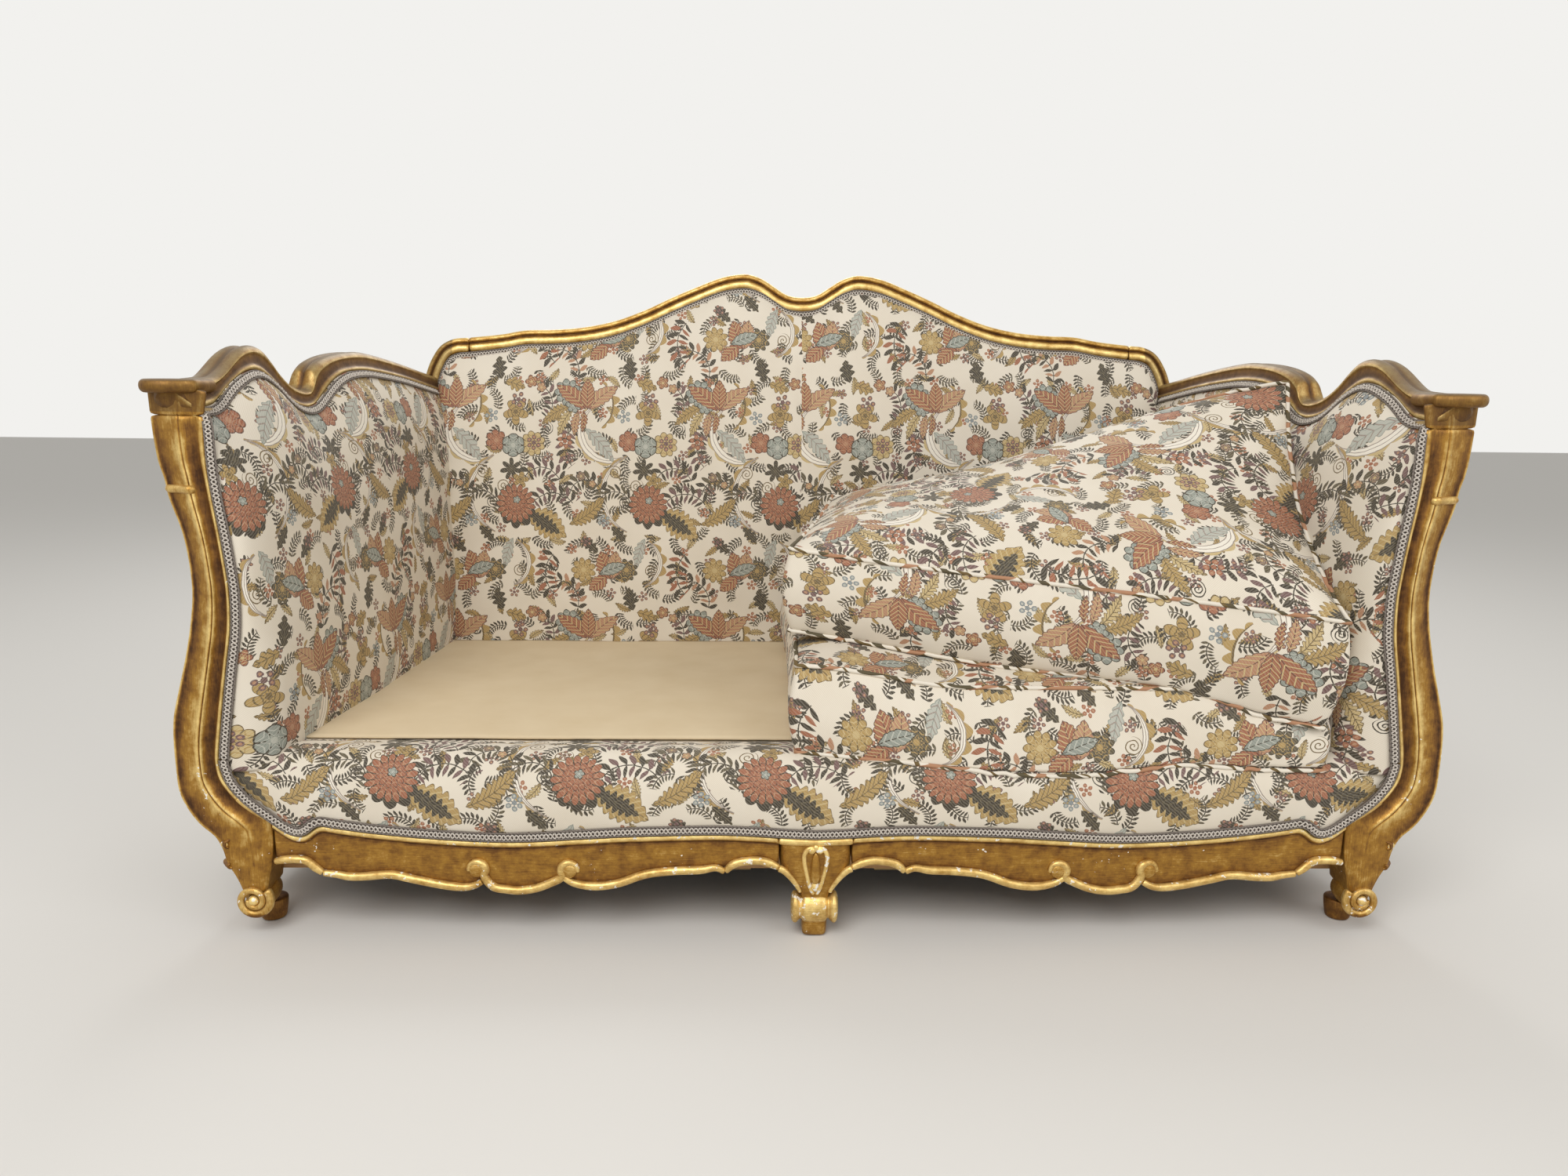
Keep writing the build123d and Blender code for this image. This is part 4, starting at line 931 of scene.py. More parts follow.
class Motif(Enum):
    """The shapes that the brocade is drawn with: the numbers that each takes and how it is drawn."""

    LEAF = (("Girth", "Teeth", "Bite", "Bend"), draw_leaf)
    FLOWER = (("Petals", "Bite"), draw_flower)
    BAND = (("Sweep", "Girth", "Scallops", "Fringe"), draw_band)
    SPRIG = (("Sweep", "Leaves", "Length", "Slant"), draw_sprig)
    BERRIES = (("Count",), draw_berries)
    CURL = (("Turns",), draw_curl)

    def group(self) -> NodeTree:
        """Return the motif as a node group that gives a colour and where it covers the ground.

        Returns:
            The group.
        """
        given_numbers, draw = self.value
        numbers = (*given_numbers, "Keep", "Line")
        tree = bpy.data.node_groups.new(f"Brocade_{self.name.lower()}", "ShaderNodeTree")
        sockets = [("Place", "INPUT", "Vector")] + [(number, "INPUT", "Float") for number in numbers]
        sockets += [(colour, "INPUT", "Color") for colour in ("Body", "Edge", "Heart")]
        sockets += [("Colour", "OUTPUT", "Color"), ("Cover", "OUTPUT", "Float")]
        for name, way, kind in sockets:
            tree.interface.new_socket(name, in_out=way, socket_type=f"NodeSocket{kind}")
        given = add_node(tree, "NodeGroupInput").outputs
        values = {number: Wire(given[number]) for number in numbers}
        split = add_node(tree, "SeparateXYZ", {0: given["Place"]}).outputs
        values["x"], values["y"] = Wire(split[0]), Wire(split[1])
        reach = add_node(tree, "VectorMath", {0: given["Place"]}, operation="LENGTH")
        values["reach"] = Wire(reach.outputs["Value"])
        values["angle"] = values["y"].reckon("ARCTAN2", values["x"])
        cover, edge, heart = draw(values)
        colour = given["Body"]
        for share, silk in ((edge, given["Edge"]), (heart, given["Heart"])):
            colour = add_node(tree, "Mix", {"Factor": share, "A": colour, "B": silk},
                              data_type="RGBA").outputs["Result"]
        add_node(tree, "NodeGroupOutput", {"Colour": colour, "Cover": cover})
        return tree


@dataclass(frozen=True)
class Stamp:
    """One motif in the repeat, from its upper left corner: its place and its size are in millimetres."""

    motif: Motif
    x: float
    y: float
    size: float
    turn: float
    numbers: tuple[float, ...]
    body: Thread
    edge: Thread
    heart: Thread


def repeat_stamps() -> tuple[Stamp, ...]:
    """Return the motifs of one repeat, from the lowest layer to the highest.

    Returns:
        The motifs.
    """
    leaf, flower, band = Motif.LEAF, Motif.FLOWER, Motif.BAND
    sprig, berries, curl = Motif.SPRIG, Motif.BERRIES, Motif.CURL
    coral, rose, rust, ochre = Thread.CORAL, Thread.ROSE, Thread.RUST, Thread.OCHRE
    straw, bronze, olive, moss = Thread.STRAW, Thread.BRONZE, Thread.OLIVE, Thread.MOSS
    slate, mist, taupe, mauve, blue = Thread.SLATE, Thread.MIST, Thread.TAUPE, Thread.MAUVE, Thread.BLUE
    ivory = Thread.IVORY
    rows = (
        # Scrolling bands and their acanthus
        (band, 150, 150, 63, 214, (1.56, 0.13, 6, 0.10), ivory, taupe, straw),
        (leaf, 96, 146, 92, -36, (0.75, 22, 0.35, 0.22), mist, slate, taupe),
        (band, 222, 284, 88, 180, (1.15, 0.055, 9, 0.10), ivory, taupe, ochre),
        (band, 203, 430, 54, -5, (1.10, 0.09, 7, 0.20), ivory, taupe, ochre),
        (band, 98, 96, 58, 0, (0.95, 0.03, 9, 0.24), ivory, bronze, ochre),
        (leaf, 224, 378, 66, -118, (0.8, 19, 0.3, -0.2), mist, slate, taupe),
        # Sprigs
        (sprig, 116, 185, 62, 180, (0.70, 5.0, 0.34, 0.6), olive, olive, mauve),
        (sprig, 98, 288, 34, 90, (1.45, 3.0, 0.62, 0.6), olive, olive, moss),
        (sprig, 286, 268, 40, 85, (1.15, 3.2, 0.50, 0.6), olive, olive, mauve),
        (sprig, 159, 314, 36, 95, (2.0, 3.4, 0.46, 1.2), olive, olive, moss),
        (sprig, 310, 334, 52, 90, (0.95, 4.2, 0.40, 0.6), olive, olive, mauve),
        (sprig, 352, 455, 60, 180, (0.80, 4.6, 0.40, 0.6), olive, olive, coral),
        (sprig, 262, 96, 46, 10, (0.85, 3.8, 0.40, 0.6), olive, olive, mauve),
        (sprig, 36, 24, 44, 40, (1.0, 3.6, 0.44, 0.6), olive, olive, rose),
        # Tulip with its drooping feathers
        (leaf, 66, 98, 70, 196, (0.85, 28, 0.45, -0.30), ochre, bronze, bronze),
        (leaf, 70, 106, 62, 224, (0.80, 25, 0.45, -0.30), straw, bronze, bronze),
        (leaf, 82, 108, 54, 250, (0.80, 22, 0.40, -0.20), rose, rust, straw),
        (leaf, 94, 108, 46, 276, (0.75, 19, 0.40, 0.20), coral, rust, straw),
        (flower, 58, 70, 29, 0, (4.5, 0.22), slate, olive, mist),
        (flower, 72, 96, 18, 0, (3.5, 0.25), slate, olive, mist),
        (leaf, 97, 106, 78, 124, (1.00, 22, 0.16, -0.30), coral, rust, straw),
        (leaf, 105, 106, 76, 56, (1.00, 22, 0.16, 0.30), rose, rust, straw),
        (leaf, 101, 106, 66, 90, (1.00, 25, 0.14, 0.0), coral, rust, straw),
        # Fruit and rose
        (flower, 222, 232, 24, 12, (3.5, 0.62), olive, moss, moss),
        (flower, 242, 254, 18, 40, (2.5, 0.55), ochre, bronze, bronze),
        (flower, 231, 112, 28, 18, (2.5, 0.55), ochre, bronze, bronze),
        (flower, 268, 178, 27, 0, (4.5, 0.20), straw, bronze, ochre),
        (berries, 270, 176, 17, 0, (6 / math.tau,), mauve, olive, rose),
        (flower, 190, 172, 23, 20, (3.5, 0.18), coral, rust, rose),
        (flower, 226, 182, 25, 0, (3.0, 0.10), slate, olive, mist),
        (berries, 236, 86, 18, 30, (5 / math.tau,), mauve, olive, rose),
        (berries, 180, 120, 16, 0, (5 / math.tau,), blue, olive, mist),
        (berries, 54, 172, 17, 10, (6 / math.tau,), coral, olive, rose),
        (berries, 62, 208, 14, 0, (5 / math.tau,), mauve, olive, rose),
        # Curls
        (curl, 16, 146, 13, 0, (2.6,), olive, olive, olive),
        (curl, 206, 266, 16, 60, (2.4,), ochre, bronze, bronze),
        (curl, 160, 238, 15, 180, (2.4,), ochre, bronze, bronze),
        (curl, 182, 300, 14, 0, (2.4,), olive, olive, olive),
        (curl, 236, 446, 15, 90, (2.4,), ochre, bronze, bronze),
        # Small mauve flowers
        (flower, 88, 246, 11, 0, (2.5, 0.30), mauve, olive, straw),
        (flower, 112, 262, 9, 30, (2.5, 0.30), rose, olive, straw),
        # Peony, plume and big leaf
        (leaf, 254, 322, 100, -27, (1.25, 24, 0.30, 0.10), ochre, bronze, straw),
        (leaf, 258, 326, 78, -27, (0.95, 22, 0.60, 0.10), olive, moss, moss),
        (leaf, 62, 348, 92, 18, (0.80, 30, 0.40, -0.35), ochre, bronze, bronze),
        (leaf, 152, 352, 46, -42, (1.1, 14, 0.55, 0.1), olive, moss, moss),
        (berries, 136, 340, 15, 0, (6 / math.tau,), blue, olive, mist),
        (band, 231, 307, 36, -75, (1.35, 0.10, 5.5, 0.34), moss, olive, olive),
        (flower, 231, 305, 43, 0, (8.5, 0.24), coral, olive, rose),
        (flower, 231, 300, 24, 15, (5.5, 0.34), coral, rust, rose),
        (flower, 233, 297, 9, 40, (2.5, 0.35), slate, olive, mist),
        # Open tulip
        (flower, 92, 446, 27, 0, (4.5, 0.26), ochre, bronze, straw),
        (flower, 184, 446, 25, 0, (4.5, 0.30), moss, olive, ochre),
        (leaf, 142, 456, 52, 228, (1.3, 19, 0.20, 0.1), coral, rust, straw),
        (leaf, 150, 466, 64, 118, (1.3, 22, 0.20, 0.15), coral, rust, straw),
        (leaf, 152, 466, 62, 72, (1.2, 22, 0.20, -0.15), rose, rust, straw),
        (leaf, 124, 456, 64, 26, (0.85, 18, 0.12, 0.1), slate, olive, mist),
        (leaf, 124, 408, 48, 142, (1.1, 14, 0.55, 0.1), olive, moss, moss),
        (berries, 98, 384, 13, 0, (5 / math.tau,), mauve, olive, rose),
        # Oak leaves and small blooms
        (leaf, 198, 44, 50, 108, (1.35, 12, 0.55, 0.1), olive, moss, moss),
        (leaf, 206, 48, 46, -12, (1.35, 12, 0.50, 0.1), ochre, bronze, bronze),
        (flower, 262, 48, 14, 0, (2.5, 0.32), coral, rust, straw),
        (flower, 284, 60, 11, 30, (2.5, 0.32), rose, rust, straw),
    )
    return tuple(Stamp(*row) for row in rows)


@dataclass(frozen=True)
class Filler:
    """A small motif strewn between the others: how far apart and how big, in millimetres, and its silks."""

    motif: Motif
    spacing: float
    size: float
    shift: float
    numbers: tuple[float, ...]
    threads: tuple[Thread, Thread]
    heart: Thread


@dataclass(frozen=True)
class Brocade:
    """Silk brocade: a ribbed ivory ground with flowers woven in coloured silks, a little faded.

    The ribs are drawn at twice their real spacing, because finer ones wouldn't show. The motifs are laid
    in batches, each of which waits for the colour under it, because a shader can't hold all their places
    at once.
    """

    name: str = "Silk_brocade"
    repeat: tuple[float, float] = (282 * MM, 490 * MM)
    ground: str = "#DFD6C6"
    shade: str = "#CFC3AF"
    rib: float = 1.6 * MM
    float_length: float = 2.8 * MM
    outline: float = 1.5
    stray: float = 1.4 * MM
    drift_size: float = 16 * MM
    cloud_size: float = 150 * MM
    batch: int = 8
    fillers: tuple[Filler, ...] = (
        Filler(Motif.LEAF, 68, 36, 0.5, (0.95, 22, 0.45, 0.35), (Thread.OCHRE, Thread.STRAW), Thread.BRONZE),
        Filler(Motif.SPRIG, 57, 28, 1.0, (0.82, 4.4, 0.38, 0.7), (Thread.OLIVE, Thread.MOSS), Thread.OLIVE),
        Filler(Motif.BERRIES, 72, 12, 0.0, (5 / math.tau,), (Thread.MAUVE, Thread.CORAL), Thread.ROSE),
    )

    def material(self) -> Material:
        """Return the brocade as a material.

        Returns:
            The material.
        """
        material, tree, shader = new_material(self.name)
        cloth = add_node(tree, "UVMap", uv_map=CLOTH_MAP).outputs[0]
        drift = add_node(tree, "TexNoise", {"Vector": cloth, "Scale": 1 / self.drift_size, "Detail": 2.0},
                         noise_dimensions="2D").outputs["Color"]
        drift = add_node(tree, "VectorMath", {0: drift, 1: (0.5, 0.5, 0.5)}, operation="SUBTRACT").outputs[0]
        drift = add_node(tree, "VectorMath", {0: drift, 1: (self.stray * 2, self.stray * 2, 0), 2: cloth},
                         operation="MULTIPLY_ADD").outputs[0]
        colour = ground = self.ground_colour(tree, cloth)
        groups = {motif: motif.group() for motif in Motif}
        for filler in self.fillers:
            colour = self.scatter(tree, groups[filler.motif], filler, drift, colour)
        for number, stamp in enumerate(repeat_stamps()):
            if number % self.batch == 0:
                place = add_node(tree, "VectorMath", {0: colour, 1: (1e-7, 1e-7, 0), 2: drift},
                                 operation="MULTIPLY_ADD").outputs[0]
            colour = self.print_stamp(tree, groups[stamp.motif], stamp, place, colour)
        floats = add_node(tree, "TexWave", {"Vector": drift, "Scale": WAVE_SCALE / self.float_length,
                                            "Distortion": 3.0, "Detail": 1.0}, bands_direction="DIAGONAL")
        thin = Wire(floats.outputs["Fac"]) * 0.15
        colour = add_node(tree, "Mix", {"Factor": thin, "A": colour, "B": ground},
                          data_type="RGBA").outputs["Result"]
        ribs = add_node(tree, "TexWave", {"Vector": cloth, "Scale": WAVE_SCALE / self.rib, "Distortion": 1.2,
                                          "Detail": 2.0}, bands_direction="DIAGONAL").outputs
        woven = add_node(tree, "Mix", {"Factor": 0.16, "A": colour, "B": ribs["Color"]},
                         data_type="RGBA", blend_type="SOFT_LIGHT")
        bump = add_node(tree, "Bump", {"Height": ribs["Fac"], "Strength": 0.12, "Distance": 0.3 * MM})
        set_inputs(shader, {"Base Color": woven.outputs["Result"], "Normal": bump.outputs[0],
                            "Roughness": 0.72, "Sheen Weight": 0.08})
        return material

    def scatter(self, tree: NodeTree, group: NodeTree, filler: Filler,
                place: NodeSocket, under: NodeSocket) -> NodeSocket:
        """Strew a small motif under the others, each turned its own way.

        Args:
            tree: The material's tree.
            group: The motif's node group.
            filler: The motif's spacing, size and silks.
            place: Place on the cloth, in metres.
            under: The colour that the motif covers.

        Returns:
            The new colour.
        """
        cells = add_node(tree, "TexVoronoi", {"Vector": place, "Scale": 1 / (filler.spacing * MM),
                                              "Randomness": 0.55}, voronoi_dimensions="2D").outputs
        local = add_node(tree, "VectorMath", {0: place, 1: cells["Position"]}, operation="SUBTRACT")
        chance = add_node(tree, "SeparateColor", {0: cells["Color"]}).outputs
        turned = add_node(tree, "VectorRotate", {
            "Vector": local.outputs[0], "Angle": Wire(chance[0]) * math.tau}, rotation_type="Z_AXIS")
        grow = 1 / (filler.size * MM)
        sized = add_node(tree, "VectorMath", {
            0: turned.outputs[0], 1: (grow, grow, 0), 2: (filler.shift, 0, 0),
        }, operation="MULTIPLY_ADD").outputs[0]
        first, second = (linear(thread.value) for thread in filler.threads)
        body = add_node(tree, "Mix", {"Factor": Wire(chance[1]) > 0.5, "A": first, "B": second},
                        data_type="RGBA").outputs["Result"]
        heart = linear(filler.heart.value)
        inputs = {"Place": sized, "Body": body, "Edge": heart, "Heart": heart}
        return self.laid(tree, group, filler, inputs, under)

    def laid(self, tree: NodeTree, group: NodeTree, motif: Stamp | Filler, inputs: dict,
             under: NodeSocket) -> NodeSocket:
        """Lay a motif over the colour so far.

        Args:
            tree: The material's tree.
            group: The motif's node group.
            motif: The motif with its numbers and its size.
            inputs: The motif's place and colours.
            under: The colour that the motif covers.

        Returns:
            The new colour.
        """
        numbers = dict(zip(motif.motif.value[0], motif.numbers))
        numbers |= {"Keep": 1 - numbers.get("Bite", 0.0), "Line": self.outline / motif.size}
        drawn = add_node(tree, "Group", numbers | inputs, node_tree=group).outputs
        return add_node(tree, "Mix", {"Factor": drawn["Cover"], "A": under, "B": drawn["Colour"]},
                        data_type="RGBA").outputs["Result"]

    def ground_colour(self, tree: NodeTree, cloth: NodeSocket) -> NodeSocket:
        """Return the colour of the ground, uneven where it is soiled and faded.

        Args:
            tree: The material's node tree.
            cloth: The place on the cloth.

        Returns:
            The colour.
        """
        cloud = add_node(tree, "TexNoise", {"Vector": cloth, "Scale": 1 / self.cloud_size, "Detail": 4.0},
                         noise_dimensions="2D").outputs["Fac"]
        return add_node(tree, "Mix", {"Factor": cloud, "A": linear(self.shade), "B": linear(self.ground)},
                        data_type="RGBA").outputs["Result"]

    def print_stamp(self, tree: NodeTree, group: NodeTree, stamp: Stamp,
                    place: NodeSocket, under: NodeSocket) -> NodeSocket:
        """Lay one motif over the colour so far.

        Args:
            tree: The material's tree.
            group: The motif's node group.
            stamp: The motif's place, size and colours.
            place: Place on the cloth, in metres.
            under: The colour that the motif covers.

        Returns:
            The new colour.
        """
        middle = Vector((stamp.x * MM, -stamp.y * MM, 0))
        half = Vector((*self.repeat, 0)) / 2
        near = add_node(tree, "VectorMath", {0: place, 1: middle + half, 2: middle - half}, operation="WRAP")
        size = stamp.size * MM
        local = add_node(tree, "Mapping", {
            "Vector": near.outputs[0], "Location": middle, "Rotation": (0, 0, math.radians(stamp.turn)),
            "Scale": (size, size, 1)}, vector_type="TEXTURE").outputs[0]
        silks = {"Body": stamp.body, "Edge": stamp.edge, "Heart": stamp.heart}
        colours = {name: linear(thread.value) for name, thread in silks.items()}
        return self.laid(tree, group, stamp, {"Place": local} | colours, under)


@dataclass(frozen=True)
class Piping:
    """A cord covered with a strip of the brocade cut on the slant, so that bits of its motifs cross it."""

    name: str = "Brocade_piping"
    ground: str = "#DDD4C4"
    threads: tuple[Thread, ...] = (Thread.BRONZE, Thread.MOSS, Thread.ROSE)
    stripe: float = 17 * MM
    sparse: float = 0.89

    def material(self) -> Material:
        """Return the piping as a material.

        Returns:
            The material.
        """
        material, tree, shader = new_material(self.name)
        place = add_node(tree, "TexCoord").outputs["Object"]
        colour = linear(self.ground)
        for k, thread in enumerate(self.threads):
            turned = add_node(tree, "Mapping", {"Vector": place, "Rotation": (0.4 * k, 0.3, 0.5 + k)})
            bits = add_node(tree, "TexWave", {
                "Vector": turned.outputs[0], "Scale": WAVE_SCALE / self.stripe / (1 + 0.6 * k),
                "Distortion": 6.0, "Detail": 2.0}, bands_direction="DIAGONAL").outputs["Fac"]
            colour = add_node(tree, "Mix", {
                "Factor": Wire(bits) > self.sparse, "A": colour, "B": linear(thread.value)},
                data_type="RGBA").outputs["Result"]
        set_inputs(shader, {"Base Color": colour, "Roughness": 0.75})
        return material


class Finishes:
    """The finishes of the sofa, each made once."""

    def __init__(self) -> None:
        """Make every material."""
        self.gilt = GiltWood().material()
        self.brocade = Brocade().material()
        self.piping = Piping().material()
        self.linen = PlainCloth("Deck_linen", "#D8C6A6", "#CBB692").material()
        self.black_cloth = PlainCloth("Dust_cover_cambric", "#3A3733", "#2B2926").material()
        self.hessian = PlainCloth("Hessian", "#A98A5C", "#8C6F45", thread=2.5 * MM).material()
        self.webbing = PlainCloth("Jute_webbing", "#B59A6C", "#8F7549", thread=2.5 * MM).material()
        self.stuffing = PlainCloth("Horsehair_stuffing", "#D8CFBE", "#B9AE9A", thread=3 * MM).material()
        self.gimp = GimpBraid().material()
        self.beech = Wood("Beech_frame", "#C79F6E", "#A97F50").material()
        self.steel = SpringSteel().material()


# Giltwood frame

@dataclass
class FrontPost:
    """The right front post: a moulded upright that swells, turns into the rail and has a scroll foot."""

    stations: tuple = (
        (0.877, 0.7965, 0.9627, 0.7965, 0.3), (0.878, 0.757, 0.9607, 0.760, 0.5),
        (0.877, 0.727, 0.9573, 0.729, 0.8), (0.875, 0.703, 0.9507, 0.704, 1.0),
        (0.8725, 0.678, 0.9465, 0.676, 1.0), (0.867, 0.626, 0.9322, 0.628, 1.0),
        (0.863, 0.584, 0.926, 0.582, 1.0), (0.860, 0.541, 0.9253, 0.536, 1.0),
        (0.863, 0.485, 0.932, 0.489, 1.0), (0.873, 0.430, 0.9418, 0.442, 1.0),
        (0.882, 0.379, 0.9543, 0.394, 1.0), (0.891, 0.324, 0.9660, 0.348, 1.0),
        (0.8955, 0.296, 0.9694, 0.309, 1.0), (0.8965, 0.278, 0.9695, 0.268, 1.0),
        (0.893, 0.258, 0.9680, 0.231, 1.0), (0.882, 0.238, 0.958, 0.203, 0.95),
        (0.866, 0.2185, 0.9405, 0.177, 0.8), (0.848, 0.2025, 0.919, 0.158, 0.5),
        (0.8335, 0.191, 0.908, 0.138, 0.2), (0.832, 0.152, 0.902, 0.116, 0.0),
        (0.836, 0.114, 0.891, 0.096, 0.0), (0.842, 0.088, 0.884, 0.080, 0.0),
        (0.846, 0.066, 0.879, 0.064, 0.0),
    )
    # Third column: how worn each point is; 1 also paints a highlight on an edge, -1 painted shade in a
    # hollow.
    section: Section = (
        (0.00, 14.0, -0.3), (0.00, 4.0, -0.2), (0.015, 0.0, 0.4), (0.06, -4.0, 1.0), (0.105, -1.0, 0.5),
        (0.13, 3.5, -0.6), (0.19, 6.5, -1.0), (0.27, 7.5, -0.9), (0.335, 5.5, -0.4), (0.375, 1.0, 0.5),
        (0.395, -0.6, 1.0), (0.415, 0.2, 0.6), (0.43, 2.4, -0.7), (0.45, 0.2, 0.7), (0.475, 0.0, 1.0),
        (0.50, 1.8, 0.7), (0.57, 7.0, 0.3), (0.66, 12.0, 0.1), (0.75, 17.0, -0.2), (0.83, 21.5, -0.6),
        (0.885, 25.0, -1.0), (0.92, 26.5, -0.8), (0.945, 25.0, 0.5), (0.975, 26.5, 1.0), (1.0, 31.0, 0.4),
        (1.0, 66.0, 0.0), (0.94, 70.0, -0.3), (0.06, 70.0, -0.3), (0.0, 66.0, -0.3),
    )
    foot_middle: tuple[float, float] = (0.864, 0.057)
    foot_reach: float = 0.028
    pad_height: float = 0.035
    knee_turn: float = math.radians(40)
    knee_place: tuple[float, float, float] = (0.894, -0.420, 0)
    canted_from: float = 0.49
    plain_from: float = 45.0

    def point(self, station: Sequence[float], share: float, depth: float) -> Vector:
        """Return a point of the post's section at a station.

        Args:
            station: Inner x and z, outer x and z, and how moulded the post is there.
            share: How far from the inner edge to the outer, from 0 to 1.
            depth: How far back, in millimetres.

        Returns:
            The point.
        """
        inner_x, inner_z, outer_x, outer_z, moulded = station
        plain = 9.0 * (2 * abs(share - 0.5)) ** 4 if inner_z < 0.5 else 57.0 * max(share - 0.46, 0.0)
        cant = 0.3 + 0.3 * ease((inner_z - 0.28) / 0.25) if share > self.canted_from else 1.0
        back = depth if depth > self.plain_from else cant * (moulded * depth + (1 - moulded) * plain)
        return Vector((inner_x + (outer_x - inner_x) * share, POST_FRONT + back * MM,
                       inner_z + (outer_z - inner_z) * share))

    def upright(self, bm: BMesh) -> None:
        """Loft the moulded upright down into the leg.

        Args:
            bm: The mesh that it is added to.
        """
        inner = through([(s[0], s[1]) for s in self.stations], 5)
        outer = through([(s[2], s[3]) for s in self.stations], 5)
        moulded = through([(k, s[4]) for k, s in enumerate(self.stations)], 5)
        stations = [(i.x, i.y, o.x, o.y, m.y) for i, o, m in zip(inner, outer, moulded)]
        rings = [[self.point(s, w, d) for w, d, _ in self.section] for s in stations]
        loft(bm, rings, wear_and_shade_of(self.section), fade=[0.1 + 0.9 * s[4] for s in stations])
        seam = [self.point(s, 0.05, -1.0) for s in stations[78:91]]
        cord(bm, seam, lambda share: 5.0 * MM, 8, wear_and_shade=0.7)

    def collar(self, bm: BMesh) -> None:
        """Add the bead that crosses the canted strip below the top.

        Args:
            bm: The mesh that it is added to.
        """
        station = (0.8738, 0.690, 0.9425, 0.690, 1.0)
        line = ((0.41, 4), (0.46, 0), (0.52, 2), (0.62, 8), (0.75, 15), (0.90, 22), (1.0, 28), (1.0, 40),
                (1.0, 62))
        path = through([self.point(station, share, depth) for share, depth in line], 4)
        cord(bm, path, lambda share: 6.6 * MM, 10, wear_and_shade=0.5)

    def knee(self, bm: BMesh) -> None:
        """Add the fluted scroll on the outside of the knee.

        Args:
            bm: The mesh that it is added to.
        """
        out = Vector((math.cos(self.knee_turn), -math.sin(self.knee_turn), 0))
        wide = Vector((-out.y, out.x, 0))
        foot = Vector(self.knee_place)
        line = ((12, 142), (17, 145), (16, 152), (8, 155), (1, 150), (-1, 139), (-1, 128), (2, 117), (7, 110),
                (13, 109), (15, 114), (11, 117))
        curl = evenly([Vector((a * MM, b * MM, 0)) for a, b in line], 1.8 * MM)
        curl = through([(p.x, p.y) for p in curl], 1)
        rings = []
        for i, point in enumerate(curl):
            along = heading(curl, i)
            middle = foot + out * point.x + UP * point.y
            rise = UP * along.x - out * along.y
            flutes = [1.6 if k % 3 else 0.0 for k in range(13)]
            ring = [middle + wide * (k - 6) * 2.2 * MM + rise * flute * MM for k, flute in enumerate(flutes)]
            ring += [middle + wide * hand * 13 * MM - rise * 3 * MM for hand in (1, -1)]
            rings.append(ring)
        # The flute ridges get a painted highlight and the flutes painted shade.
        loft(bm, rings, [0.9 if k % 3 else -0.8 for k in range(13)] + [-0.5, -0.5])
        button(bm, foot + out * 11 * MM + UP * 147 * MM, Vector((10, 10, 9)) * MM, 2.2)
        button(bm, foot + out * 10 * MM + UP * 113 * MM, Vector((7, 8, 6)) * MM, 1.2)

    def foot(self, bm: BMesh) -> None:
        """Add the scroll foot: a drum with a spiral, its eye and the pad below.

        Args:
            bm: The mesh that it is added to.
        """
        middle_x, middle_z = self.foot_middle
        place = Matrix.Translation((middle_x, -0.4015, middle_z)) @ Matrix.Rotation(math.pi / 2, 4, "X")
        drum = self.foot_reach - 2 * MM
        bmesh.ops.create_cone(bm, cap_ends=True, segments=36, radius1=drum, radius2=drum, depth=0.072,
                              matrix=place)
        path = []
        for k in range(70):
            share = k / 69
            angle = math.radians(140 + 590 * share)
            reach = (self.foot_reach - 1.5 * MM) * (1 - 0.70 * share)
            path.append(Vector((middle_x + reach * math.cos(angle), POST_FRONT - 2 * MM * share,
                                middle_z + reach * math.sin(angle))))
        cord(bm, path, lambda share: (7.0 - 3.0 * share) * MM, 10, wear_and_shade=0.5)
        button(bm, Vector((middle_x, -0.438, middle_z)), Vector((8.5, 8, 8.5)) * MM, 1.3)
        place = Matrix.Translation((middle_x - 0.002, -0.378, self.pad_height / 2))
        pad = bmesh.ops.create_cone(bm, cap_ends=True, segments=28, radius1=0.019, radius2=0.024,
                                    depth=self.pad_height, matrix=place)
        round_rims(bm, pad["verts"], 4 * MM, 2)
        for vert in bm.verts:
            if vert.co.z < self.pad_height + MM:
                vert[bm.verts.layers.float[WEAR_AND_SHADE]] = -0.5

    def mesh(self) -> BMesh:
        """Return the whole right-hand post.

        Returns:
            The mesh.
        """
        bm = new_mesh()
        self.upright(bm)
        self.collar(bm)
        self.knee(bm)
        self.foot(bm)
        return bm

    def dress(self, finishes: Finishes) -> None:
        """Put both posts in place."""
        make_pair("carved_{}_front_post", "{}_front_post", self.mesh(), finishes.gilt, "gilt_wood",
                  crease=GILT_FOLD)


